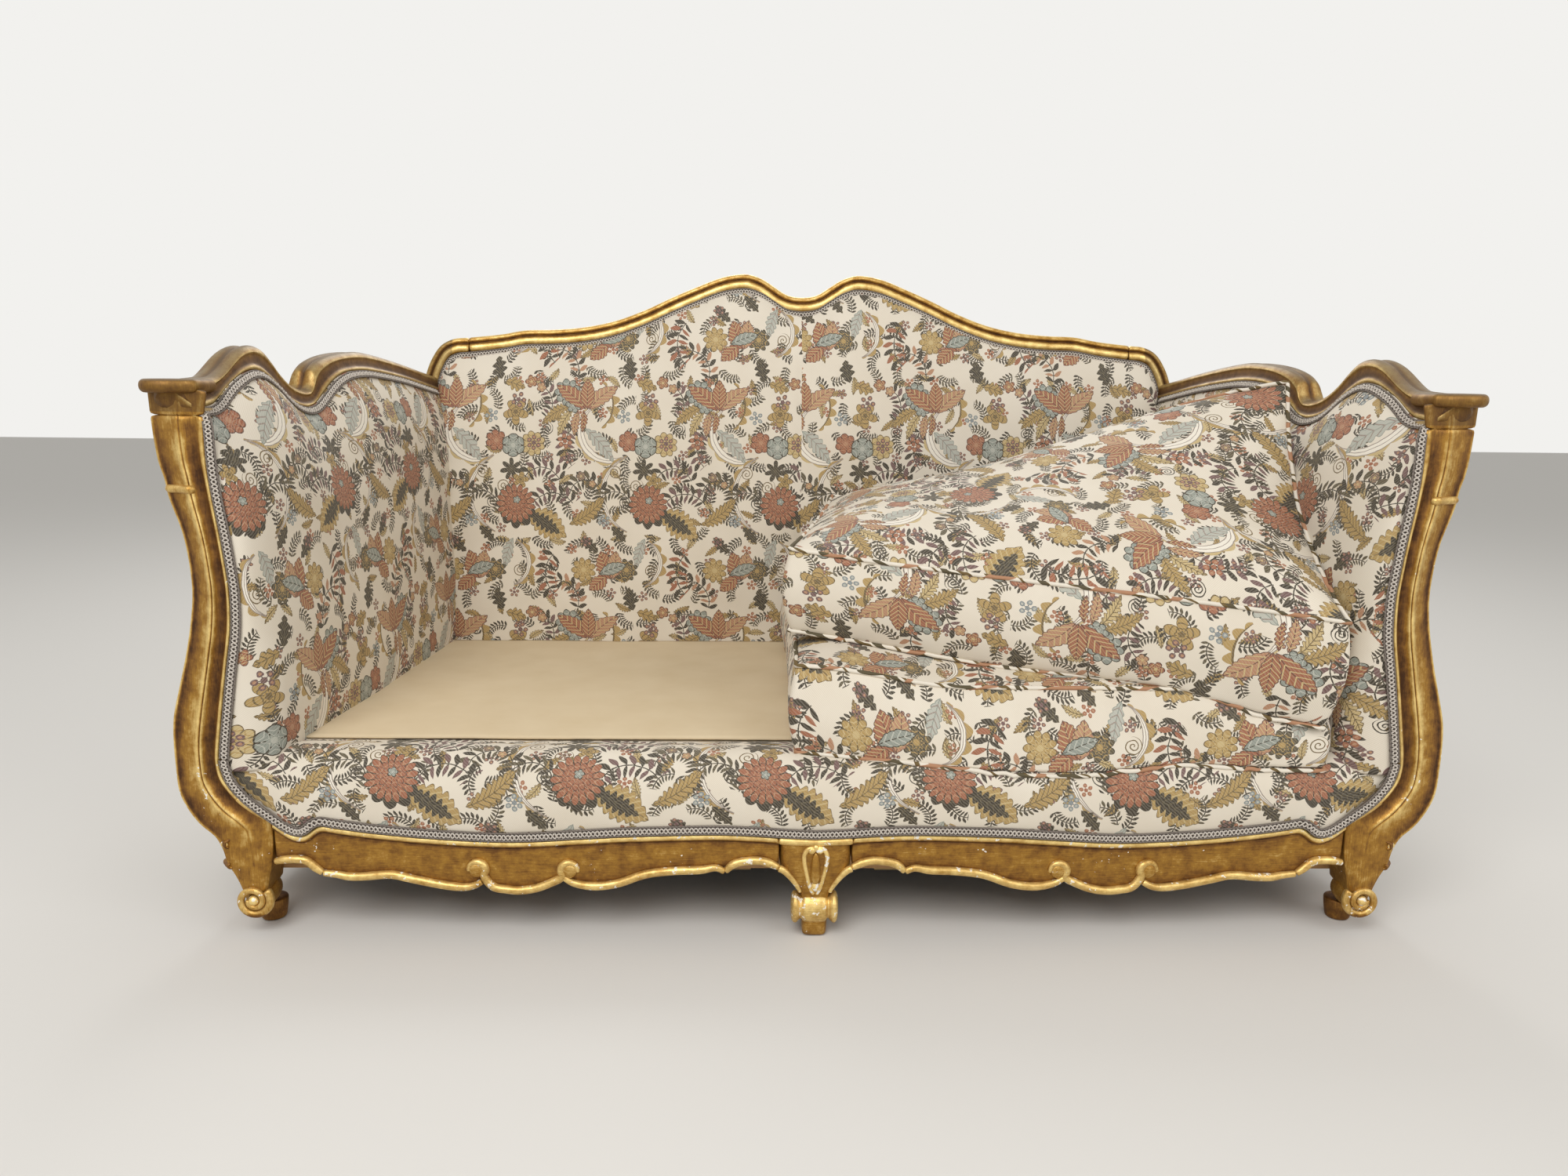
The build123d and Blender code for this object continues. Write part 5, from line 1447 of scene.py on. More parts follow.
@dataclass
class FrontRail:
    """The bowed front rail: two halves with a scalloped, beaded lower edge and carved discs."""

    inner_end: float = 0.0555
    outer_end: float = 0.8305
    scallops: tuple = (
        ((0.831, 0.112), (0.815, 0.1155), (0.800, 0.1165), (0.782, 0.1145), (0.768, 0.103), (0.757, 0.0945)),
        ((0.757, 0.0945), (0.735, 0.0925), (0.7185, 0.0895), (0.694, 0.090), (0.652, 0.0935), (0.6245, 0.088),
         (0.578, 0.0785), (0.545, 0.0745), (0.527, 0.0765), (0.512, 0.0845)),
        ((0.512, 0.0845), (0.496, 0.076), (0.476, 0.0715), (0.456, 0.070), (0.430, 0.074), (0.405, 0.084),
         (0.3885, 0.093)),
        ((0.3885, 0.093), (0.372, 0.083), (0.340, 0.078), (0.304, 0.083), (0.262, 0.098), (0.219, 0.104),
         (0.175, 0.106), (0.153, 0.1095), (0.139, 0.1035)),
        ((0.139, 0.1035), (0.126, 0.1155), (0.103, 0.121), (0.080, 0.1205), (0.0555, 0.1105)),
    )
    discs: tuple = (0.520, 0.378)
    curled: int = 2
    disc_height: float = 0.109
    disc_reach: float = 0.0135

    def section(self, x: float, low: float) -> list[Vector]:
        """Return the rail's section at a place along it.

        Args:
            x: The place along it.
            low: Height of its lower edge there.

        Returns:
            The section's points.
        """
        front = rail_front(x)
        high = RAIL_TOP(x)
        heights = (
            (62, high), (8, high), (1.5, high - 0.4 * MM), (-3.8, high - 2.2 * MM), (-5.8, high - 6.5 * MM),
            (-4.2, high - 10.5 * MM), (1.5, high - 13.5 * MM), (3.2, high - 15 * MM), (1.5, high - 17 * MM),
            (3.0, (high + low) / 2), (2.0, low + 13 * MM), (3.5, low + 10 * MM), (3.0, low + 3 * MM),
            (14, low + 2 * MM), (62, low + 8 * MM),
        )
        return [Vector((x, front + back * MM, height)) for back, height in heights]

    def mesh(self) -> BMesh:
        """Return the right-hand half.

        Returns:
            The mesh.
        """
        bm = new_mesh()
        # How worn each point of the section is, which also paints highlights on the ridges and shade in the
        # hollows.
        wear_and_shade = [0, 0, 0.2, 0.8, 1.0, 0.6, -0.3, -1.0, -0.2, 0.0, -0.3, -0.8, -0.3, -0.5, -0.5]
        graphs = [(s[-1][0], s[0][0], Graph(*s[::-1])) for s in self.scallops]
        rings = []
        for k in range(151):
            x = self.inner_end + (self.outer_end - self.inner_end) * k / 150
            low = next((graph(x) for start, end, graph in graphs if start <= x <= end), 0.1)
            rings.append(self.section(x, low))
        loft(bm, rings, wear_and_shade)
        for k, scallop in enumerate(self.scallops):
            self.bead(bm, k, scallop)
        for x in self.discs:
            button(bm, Vector((x, rail_front(x) - 1.0 * MM, self.disc_height)),
                   Vector((self.disc_reach - 2 * MM, 4.5 * MM, self.disc_reach - 2 * MM)), 0.3)
        return bm

    def curl(self, x: float, hand: int) -> list[tuple[float, float]]:
        """Return the bead's line round a disc, up to where it leaves along the scallop.

        Args:
            x: The disc's place along the rail.
            hand: 1 or -1, for the side that the line leaves on.

        Returns:
            Pairs of x and z.
        """
        turns = [math.radians(turn) for turn in (190, 140, 90, 40, 0, -40)]
        reach = self.disc_reach
        return [(x + hand * reach * math.cos(a), self.disc_height + reach * math.sin(a)) for a in turns]

    def bead(self, bm: BMesh, number: int, scallop: Sequence[tuple[float, float]]) -> None:
        """Add the bead along one scallop, and its curls over the discs.

        Args:
            bm: The rail's mesh.
            number: Which scallop it is, counted from the post.
            scallop: The scallop's points.
        """
        line = [(x, z + 6 * MM) for x, z in scallop]
        thin, more, quick = 5.4, 1.6, 5
        if number == self.curled:
            start, end = self.discs
            line = self.curl(start, -1) + line[1:-1] + self.curl(end, 1)[::-1]
            thin, more, quick = 3.4, 3.6, 6
        path = evenly(through(line, 6), 4 * MM)
        path = [Vector((p.x, rail_front(p.x) + 0.5 * MM, p.y)) for p in path]
        cord(bm, path, lambda share: (thin + more * ease(quick * min(share, 1 - share))) * MM, 10, wear_and_shade=0.7)

    def dress(self, finishes: Finishes) -> None:
        """Put both halves in place."""
        make_pair("carved_{}_front_rail", "{}_front_rail", self.mesh(), finishes.gilt, "gilt_wood",
                  crease=GILT_FOLD)


@dataclass
class CentreLeg:
    """The block between the rail halves with its carved drop and scroll foot."""

    half_width: Graph = Graph(
        (0.0, 0.019), (0.020, 0.020), (0.052, 0.021), (0.066, 0.0225), (0.079, 0.027), (0.092, 0.037),
        (0.104, 0.048), (0.114, 0.0545), (0.130, 0.0555), (0.170, 0.0555))
    front: Graph = Graph(
        (0.0, -0.444), (0.018, -0.448), (0.045, -0.446), (0.066, -0.447), (0.085, -0.4505), (0.110, -0.453),
        (0.150, -0.4535))
    roll: Graph = Graph(
        (-0.037, 0.014), (-0.034, 0.021), (-0.029, 0.0225), (-0.0245, 0.019), (-0.021, 0.016),
        (-0.0165, 0.021), (0.0, 0.0225), (0.0165, 0.021), (0.021, 0.016), (0.0245, 0.019), (0.029, 0.0225),
        (0.034, 0.021), (0.037, 0.014))
    carving: tuple = (
        (((3, 152), (11, 150), (17, 141), (17, 127), (14, 112), (10.5, 96), (6.5, 82), (2, 73)),
         -0.5, 4.4, 1.2, 1.6),
        (((57, 117), (50, 114), (40, 104), (32, 93), (26, 83), (22.5, 75)), 2.5, 6.4, 3.0, 0.8),
    )
    knobs: tuple = (
        ((0, -0.4535, 0.116), (7.5, 6, 28), 0.2), ((0, -0.452, 0.088), (6, 6, 9), 2.2),
        ((0, -0.4545, 0.152), (5, 5, 6), 1.6),
    )

    def mesh(self) -> BMesh:
        """Return the leg.

        Returns:
            The mesh.
        """
        bm = new_mesh()
        rings = []
        for k in range(39):
            z = 0.167 * k / 38
            half = self.half_width(z)
            front = self.front(z)
            back = -0.388 if z < 0.06 else -0.388 + 0.020 * ease((z - 0.06) / 0.05)
            ring = []
            for step in range(28):
                angle = math.tau * step / 28
                c, s = math.cos(angle), math.sin(angle)
                ring.append(Vector((
                    half * math.copysign(abs(c) ** 0.4, c),
                    (front + back) / 2 + (back - front) / 2 * math.copysign(abs(s) ** 0.4, s), z)))
            rings.append(ring)
        loft(bm, rings, [0.0] * 28)
        rings = []
        for k in range(41):
            x = -0.037 + 0.074 * k / 40
            reach = self.roll(x)
            turns = [math.tau * step / 20 for step in range(20)]
            rings.append([Vector((x, -0.4345 - reach * math.cos(turn), 0.046 + reach * 1.15 * math.sin(turn)))
                          for turn in turns])
        loft(bm, rings, [0.7] * 20)
        for hand in (-1, 1):
            for line, back, thick, less, wear_and_shade in self.carving:
                path = evenly(through([(hand * x * MM, z * MM) for x, z in line], 6), 3 * MM)
                path = [Vector((p.x, self.front(p.y) + back * MM, p.y)) for p in path]
                cord(bm, path, lambda share: (thick - less * share) * MM, 8, wear_and_shade=wear_and_shade)
            button(bm, Vector((hand * 6 * MM, -0.455, 0.148)), Vector((6, 5, 6)) * MM, 2.0)
        for middle, reach, wear_and_shade in self.knobs:
            button(bm, Vector(middle), Vector(reach) * MM, wear_and_shade)
        over = [Vector((x, self.front(0.15) + 1.5 * MM, RAIL_TOP(abs(x)) - 6.3 * MM))
                for x in (0.057 * (k / 10 - 1) for k in range(21))]
        cord(bm, over, lambda share: 6.2 * MM, 10, wear_and_shade=0.8)
        return bm

    def dress(self, finishes: Finishes) -> None:
        """Put the leg in place."""
        make_piece("carved_centre_leg", self.mesh(), finishes.gilt, "gilt_wood", ["centre_leg"],
                   crease=GILT_FOLD)


@dataclass
class ArmRail:
    """The right arm's top rail: a waved moulding with a notch, and the cap that juts over the post."""

    # Third column: how worn each point is; 1 also paints a highlight on an edge, -1 painted shade in a
    # hollow.
    section: Section = (
        (-28.0, -42.0, -0.4), (-29.5, -38.5, 0.6), (-29.5, -34.5, 0.9), (-27.0, -31.0, 0.2),
        (-24.5, -29.5, -1.0), (-23.0, -25.0, -0.8), (-21.5, -18.0, -0.3), (-21.0, -13.5, 0.0),
        (-22.5, -11.5, 0.8), (-20.0, -6.5, 0.4), (-14.0, -1.5, 0.6), (-7.5, 0.0, 0.3), (-2.0, -1.5, 0.0),
        (1.0, -5.0, -1.0),
        (4.5, -4.5, -0.7), (8.0, -1.5, 0.4), (14.0, -0.5, 0.6), (20.0, -3.0, 0.3), (25.0, -8.5, 0.3),
        (27.5, -15.0, 0.0), (28.0, -26.0, -0.3), (28.0, -42.0, -0.4),
    )
    cap_plan: tuple = (
        (0.884, -0.372), (0.882, -0.436), (0.899, -0.447), (0.920, -0.457), (0.944, -0.4565),
        (0.9595, -0.446), (0.967, -0.424), (0.967, -0.396), (0.960, -0.372),
    )
    block_low: float = 0.794
    block_height: float = 0.038
    block_inner: float = 20.0
    cap_low: float = 0.826
    cap_height: float = 0.020

    def moulding(self, bm: BMesh) -> None:
        """Carry the moulding along the wave, from its top line down to its edge along the cloth.

        Args:
            bm: The mesh that it is added to.
        """
        tops = through([station[:2] for station in ARM_STATIONS], 6)
        edges = through([station[2:] for station in ARM_STATIONS], 6)
        rings = []
        for top, edge in zip(tops, edges):
            high = arm_point(top.x, top.y)
            drop = (arm_point(edge.x, edge.y) - high) / self.section[0][1]
            rings.append([high + ARM_OUT * out * MM + drop * down for out, down, _ in self.section])
        loft(bm, rings, wear_and_shade_of(self.section))

    def block(self, bm: BMesh, post: FrontPost) -> None:
        """Add the block between the post and the cap, which goes on with the post's mouldings.

        Args:
            bm: The mesh that it is added to.
            post: The front post.
        """
        rings = []
        for share in (k / 6 for k in range(7)):
            z = self.block_low + self.block_height * share
            station = (0.877 - 0.006 * ease(share), z, 0.9627 + 0.001 * share, z, 0.2)
            depths = [(w, min(d, self.block_inner) if w < 0.3 else d) for w, d, _ in post.section]
            rings.append([post.point(station, w, d) for w, d in depths])
        loft(bm, rings, wear_and_shade_of(post.section), fade=[0.3] * len(rings))

    def cap(self, bm: BMesh) -> None:
        """Add the cap: its plan, drawn up and rounded over.

        Args:
            bm: The mesh that it is added to.
        """
        corners = [Vector((x, y)) for x, y in self.cap_plan]
        outline = through(corners + corners[:1], 5)[:-1]
        face = bm.faces.new([bm.verts.new((p.x, p.y, self.cap_low)) for p in outline])
        made = bmesh.ops.extrude_face_region(bm, geom=[face], use_keep_orig=True)["geom"]
        top = [v for v in made if isinstance(v, BMVert)]
        bmesh.ops.translate(bm, vec=UP * self.cap_height, verts=top)
        round_rims(bm, top + list(face.verts), 8.5 * MM, 4)

    def mesh(self, post: FrontPost) -> BMesh:
        """Return the right-hand rail.

        Args:
            post: The front post.

        Returns:
            The mesh.
        """
        bm = new_mesh()
        self.moulding(bm)
        self.block(bm, post)
        self.cap(bm)
        return bm

    def dress(self, finishes: Finishes, post: FrontPost) -> None:
        """Put both arm rails in place."""
        make_pair("moulded_{}_arm_rail", "{}_arm_rail", self.mesh(post), finishes.gilt, "gilt_wood",
                  crease=GILT_FOLD)


@dataclass
class BackFrame:
    """The crest rail with its two peaks, and the back posts that turn the corners and reach the floor."""

    # Third column: how worn each point is; 1 also paints a highlight on an edge, -1 painted shade in a
    # hollow.
    section: Section = (
        (-45.0, 34.0, -0.3), (-45.0, 4.0, 0.0), (-42.0, 0.5, 0.3), (-24.0, 0.0, 0.0), (-7.0, 0.0, 0.2),
        (-2.0, 1.0, 0.9), (1.0, 4.0, 0.5), (2.0, 8.0, 0.3), (0.8, 11.0, -0.3), (-2.0, 12.5, -1.0),
        (-0.5, 14.5, -0.4), (3.5, 17.0, 0.5), (5.2, 21.0, 0.9), (5.4, 26.0, 0.8), (4.0, 30.5, 0.3),
        (0.5, 34.0, -0.6), (-8.0, 35.0, -0.8),
    )
    post_inner: float = 0.772
    post_outer: float = 0.832
    post_height: float = 0.83
    post_depth: float = 0.042
    leg_height: float = 0.15
    leg_taper: float = 8 * MM
    soft: float = 6 * MM

    def path(self, outline: Sequence[tuple[float, float]], spacing: float = 8 * MM) -> list[Vector]:
        """Return an outline as points on the raked back."""
        return [Vector((p.x, back_y(p.y), p.y)) for p in evenly(through(outline), spacing)]

    def crest(self) -> BMesh:
        """Return the crest rail.

        Returns:
            The mesh.
        """
        bm = new_mesh()
        outline = [(-x, z) for x, z in CREST_TOP[:0:-1]] + list(CREST_TOP)
        loft(bm, carried(self.path(outline), BACK_FACING, self.section), wear_and_shade_of(self.section))
        return bm

    def post(self) -> BMesh:
        """Return the right-hand back post with its corner.

        Returns:
            The mesh.
        """
        bm = new_mesh()
        (start_x, start_z), *rest = CORNER_TOP
        outline = [(start_x - 2 * MM, start_z), *rest]
        loft(bm, carried(self.path(outline, 6 * MM), BACK_FACING, self.section), wear_and_shade_of(self.section))
        rings = []
        for k in range(36):
            z = self.post_height * (1 - k / 35)
            thin = self.leg_taper * ease((self.leg_height - z) / self.leg_height)
            front = back_y(z) + BACK_SPLAY(z) + 2 * MM
            back = front + self.post_depth - thin
            low, high, soft = self.post_inner + thin, self.post_outer - thin, self.soft
            rings.append([Vector((x, y, z)) for x, y in (
                (low + soft, front), (high - soft, front), (high, front + soft), (high, back - soft),
                (high - soft, back), (low + soft, back), (low, back - soft), (low, front + soft))])
        loft(bm, rings, [0.0] * 8)
        return bm

    def dress(self, finishes: Finishes) -> None:
        """Put the crest and both posts in place.

        Args:
            finishes: The materials of all the pieces.
        """
        make_piece("moulded_crest_rail", self.crest(), finishes.gilt, "gilt_wood", ["crest_rail"],
                   crease=GILT_FOLD)
        make_pair("moulded_{}_back_post", "{}_back_post", self.post(), finishes.gilt, "gilt_wood",
                  crease=GILT_FOLD)


# Upholstery

def ripple(point: Vector, size: float, depth: float) -> float:
    """Return a shallow unevenness of stuffed cloth at a point."""
    return noise.noise(point / size) * depth


@dataclass
class SeatFront:
    """The rolled front of the seat and the plain deck behind it."""

    profile: tuple = (
        (0.004, 0.0), (-0.004, 0.010), (-0.0085, 0.032), (-0.008, 0.066), (-0.001, 0.096), (0.014, 0.119),
        (0.037, 0.131), (0.066, 0.131), (0.098, 0.123),
    )
    profile_height: float = 0.131
    top: float = 0.2885

    def roll_surface(self, across: float, up: float) -> tuple[Vector, float, float]:
        """Return a point of the roll and its place on the cloth.

        Args:
            across: Share of the width, from 0 to 1.
            up: Share of the height, from 0 to 1.

        Returns:
            The point, and its place on the cloth in metres.
        """
        hand = 2 * across - 1
        x = hand * CLOTH_END
        low = CLOTH_EDGE(abs(x))
        point = part_way(self.curve, up)
        z = low + point.y * (self.top - low) / self.profile_height
        back = 0.010 * abs(hand) ** 14
        y = rail_front(x) + point.x + back + ripple(Vector((x, z, 0)), 0.09, 0.0015)
        return Vector((x, y, z)), x + 0.029, up * 0.215 + 0.083

    def mesh(self) -> BMesh:
        """Return the roll.

        Returns:
            The mesh.
        """
        self.curve = evenly(through(self.profile), 4 * MM)
        return padded_panel(170, 26, self.roll_surface,
                            lambda p: Vector((p.x, max(p.y + 0.03, -0.36), p.z - 0.004)))

    def deck_surface(self, across: float, back: float) -> tuple[Vector, float, float]:
        """Return a point of the deck and its place on the cloth.

        Args:
            across: Share of the width, from 0 to 1.
            back: Share of the depth, from 0 to 1.

        Returns:
            The point, and its place on the cloth in metres.
        """
        x = -0.806 + 1.612 * across
        y = -0.3445 + 0.654 * back
        crown = 0.003 * math.sin(math.pi * across) * math.sin(math.pi * back)
        z = 0.2900 + crown + ripple(Vector((x, y, 3)), 0.16, 0.0012)
        return Vector((x, y, z)), x, y

    def dress(self, finishes: Finishes) -> None:
        """Put the roll and the deck in place.

        Args:
            finishes: The materials of all the pieces.
        """
        roll = make_piece("brocade_front_roll", self.mesh(), finishes.brocade, "brocade", ["front_roll"])
        bm = padded_panel(120, 50, self.deck_surface, lambda p: p - UP * 0.003)
        deck = make_piece("linen_deck", bm, finishes.linen, "deck_linen", ["deck_cloth"], levels=0)


@dataclass
class ArmPad:
    """The stuffed inside of the right arm, with its rounded nose beside the post."""

    plan: tuple = ((0.872, -0.434), (0.858, -0.4385), (0.838, -0.431), (0.822, -0.407), (0.813, -0.368),
                   (0.806, -0.310), (0.778, -0.03), (0.750, 0.315), (0.743, 0.398))
    bottom: float = 0.262
    shoulder: float = 0.24
    straight: float = 0.66
    crowd: float = 1.8
    nose: float = 0.06
    puff: float = 0.007
    swell: Graph = Graph(
        (0.0, 0.0), (0.006, 0.08), (0.036, 0.36), (0.080, 0.64), (0.130, 0.84), (0.180, 0.95), (0.240, 1.0))

    def lay_out(self) -> None:
        """Draw the pad's plan."""
        self.path = evenly(through(self.plan), 4 * MM)
        self.length = 4 * MM * (len(self.path) - 1)

    def rise(self, inset: float) -> float:
        """Return the share of the pad's height at a distance below its top edge."""
        return 1 - (1 - self.straight) * (inset / self.shoulder) ** (1 / self.crowd)

    def surface(self, along: float, up: float) -> tuple[Vector, float, float]:
        """Return a point of the pad and its place on the cloth.

        Args:
            along: Share of the length, from 0 to 1.
            up: Share of the height, from 0 to 1.

        Returns:
            The point, and its place on the cloth in metres.
        """
        base = part_way(self.path, along)
        run = along * self.length
        arm = max((base.y - POST_FRONT) / math.cos(ARM_TAPER), 0.006)
        edge = arm_point(arm, 0, -ARM_HALF)
        turned = ease((run - 0.004) / 0.05)
        edge_x = POST_INNER(0.79) * (1 - turned) + edge.x * turned
        edge_y = max(edge.y, POST_FRONT + 0.004)
        top = ARM_EDGE(arm) + 0.003
        if up < self.straight:
            share = up / self.straight
            z = self.bottom + (top - self.shoulder - self.bottom) * share
            x, y = base.x, base.y
            puff = self.puff * math.sin(math.pi * (0.15 + 0.85 * share)) * ease(run / 0.08)
            length = z
        else:
            inset = self.shoulder * ((1 - up) / (1 - self.straight)) ** self.crowd
            held = self.swell(inset)
            z = top - inset
            x = edge_x + (base.x - edge_x) * held
            y = edge_y + (base.y - edge_y) * held
            puff = 0.0
            length = top - self.shoulder + 1.1 * (self.shoulder - inset)
        along_arm = ease(run / self.nose)
        x += (POST_INNER(min(z, 0.80)) - self.plan[0][0]) * (1 - along_arm) - puff
        x += ripple(Vector((y, z, 7)), 0.11, 0.002) * along_arm
        return Vector((x, y, z)), run, length

    def behind(self, point: Vector) -> Vector:
        """Return the place on the pad's hidden back, which keeps behind the post's hollow."""
        nose = 1 - ease((point.y - POST_FRONT) / self.nose)
        return point + Vector((0.022 * (1 - nose), 0.004 + 0.036 * nose, -0.002))

    def mesh(self) -> BMesh:
        """Return the right-hand pad."""
        self.lay_out()
        return padded_panel(84, 60, self.surface, self.behind)

    def dress(self, finishes: Finishes) -> None:
        """Put both pads in place."""
        make_pair("brocade_{}_inside_arm_pad", "{}_inside_arm_pad", self.mesh(), finishes.brocade, "brocade",
                  fill=0.9)


@dataclass
class BackPad:
    """The stuffed inside of the back, seamed down the middle."""

    half: float = 0.797
    bottom: float = 0.262
    top: Graph = Graph(
        *[(x, z - CREST_HEIGHT + 0.002) for x, z in CREST_TOP[:-1]], (0.716, 0.902), (0.744, 0.899),
        (0.763, 0.890), (0.777, 0.869), (0.787, 0.844), (0.797, 0.812))
    swell: Graph = Graph(
        (0.0, -0.002), (0.006, 0.005), (0.036, 0.026), (0.120, 0.055), (0.230, 0.071), (0.330, 0.077),
        (0.80, 0.080))

    def surface(self, across: float, up: float) -> tuple[Vector, float, float]:
        """Return a point of the pad and its place on the cloth.

        Args:
            across: Share of the width, from 0 to 1.
            up: Share of the height, from 0 to 1.

        Returns:
            The point, and its place on the cloth in metres.
        """
        x = (2 * across - 1) * self.half
        high = self.top(abs(x))
        z = self.bottom + (high - self.bottom) * up
        seam = 0.0035 * math.exp(-(x / 0.005) ** 2)
        inset = min(high - z, 0.030 + 6 * (self.half - abs(x)))
        y = back_y(z) - self.swell(inset) + seam + ripple(Vector((x, z, 11)), 0.14, 0.002)
        shift = -0.005 if x < 0 else 0.0955
        return Vector((x, y, z)), x + shift, z - 0.89

    def dress(self, finishes: Finishes) -> None:
        """Put the pad in place.

        Args:
            finishes: The materials of all the pieces.
        """
        bm = padded_panel(150, 72, self.surface, lambda p: Vector((p.x, back_y(p.z) + 0.008, p.z)))
        piece = make_piece("brocade_inside_back_pad", bm, finishes.brocade, "brocade", ["inside_back_pad"])


KNEE_HEIGHT = 0.25
POST_OUTLINE = Graph(*[(z, x) for _, _, x, z, _ in FrontPost.stations if z > KNEE_HEIGHT])


@dataclass
class OutsideCover:
    """The brocade over the outside of the arms and the back, and the cloth under the seat."""

    arm_out: float = 0.0185
    arm_start: float = 0.0712
    arm_end: float = 0.868
    drawn_in: float = 0.2
    low: float = 0.079
    back_low: float = 0.148
    back_half: float = 0.790
    back_out: float = 0.0440
    thick: float = 0.004

    def arm_surface(self, along: float, up: float) -> tuple[Vector, float, float]:
        """Return a point of the arm's outside and its place on the cloth.

        Args:
            along: Share of the length, from 0 to 1.
            up: Share of the height, from 0 to 1.

        Returns:
            The point, and its place on the cloth in metres.
        """
        high = ARM_EDGE(self.arm_start + (self.arm_end - self.arm_start) * along) + 0.002
        z = self.low + (high - self.low) * up
        end = (back_y(z) + BACK_SPLAY(z) + 0.012 - POST_FRONT) / math.cos(ARM_TAPER)
        run = self.arm_start + (end - self.arm_start) * along
        puff = 0.006 * (1 - (2 * along - 1) ** 6) * (1 - (2 * up - 1) ** 6)
        point = arm_point(run, z, self.arm_out + puff)
        point.x -= max(point.x - POST_OUTLINE(z) + 0.0015, 0.0) * (1 - ease(along / self.drawn_in))
        return point, run, z

    def dust_surface(self, across: float, back: float) -> tuple[Vector, float, float]:
        """Return a point of the cloth under the seat, which sags a little.

        Args:
            across: Share of the width, from 0 to 1.
            back: Share of the depth, from 0 to 1.

        Returns:
            The point, and its place on the cloth in metres.
        """
        x = 0.832 - 1.664 * across
        y = -0.338 + 0.710 * back
        sag = 0.004 * math.sin(math.pi * across) * math.sin(math.pi * back)
        return Vector((x, y, 0.0715 - sag)), x, y

    def back_surface(self, across: float, up: float) -> tuple[Vector, float, float]:
        """Return a point of the back's outside and its place on the cloth.

        Args:
            across: Share of the width, from 0 to 1.
            up: Share of the height, from 0 to 1.

        Returns:
            The point, and its place on the cloth in metres.
        """
        x = (1 - 2 * across) * self.back_half
        high = self.crest_low(abs(x))
        z = self.back_low + (high - self.back_low) * up
        puff = 0.004 * (1 - (2 * across - 1) ** 8) * (1 - (2 * up - 1) ** 8)
        return Vector((x, back_y(z) + self.back_out + puff - 1.5 * MM, z)), -x, z

    def dress(self, finishes: Finishes) -> None:
        """Put the outside covers in place.

        Args:
            finishes: The materials of all the pieces.
        """
        panel = padded_panel(64, 50, self.arm_surface, lambda p: p - ARM_OUT * self.thick)
        make_pair("brocade_{}_outside_arm_panel", "{}_outside_arm_panel", panel, finishes.brocade,
                  "outside_brocade", fill=0.8, levels=0)
        bm = padded_panel(60, 30, self.dust_surface, lambda p: p + UP * 0.0012)
        dust = make_piece("cambric_dust_cover", bm, finishes.black_cloth, "hessian", ["dust_cover"], levels=0)
        self.crest_low = BackPad().top
        bm = padded_panel(120, 60, self.back_surface, lambda p: p + FORWARD * self.thick)
        piece = make_piece("brocade_outside_back_panel", bm, finishes.brocade, "outside_brocade",
                           ["outside_back_panel"], levels=0)


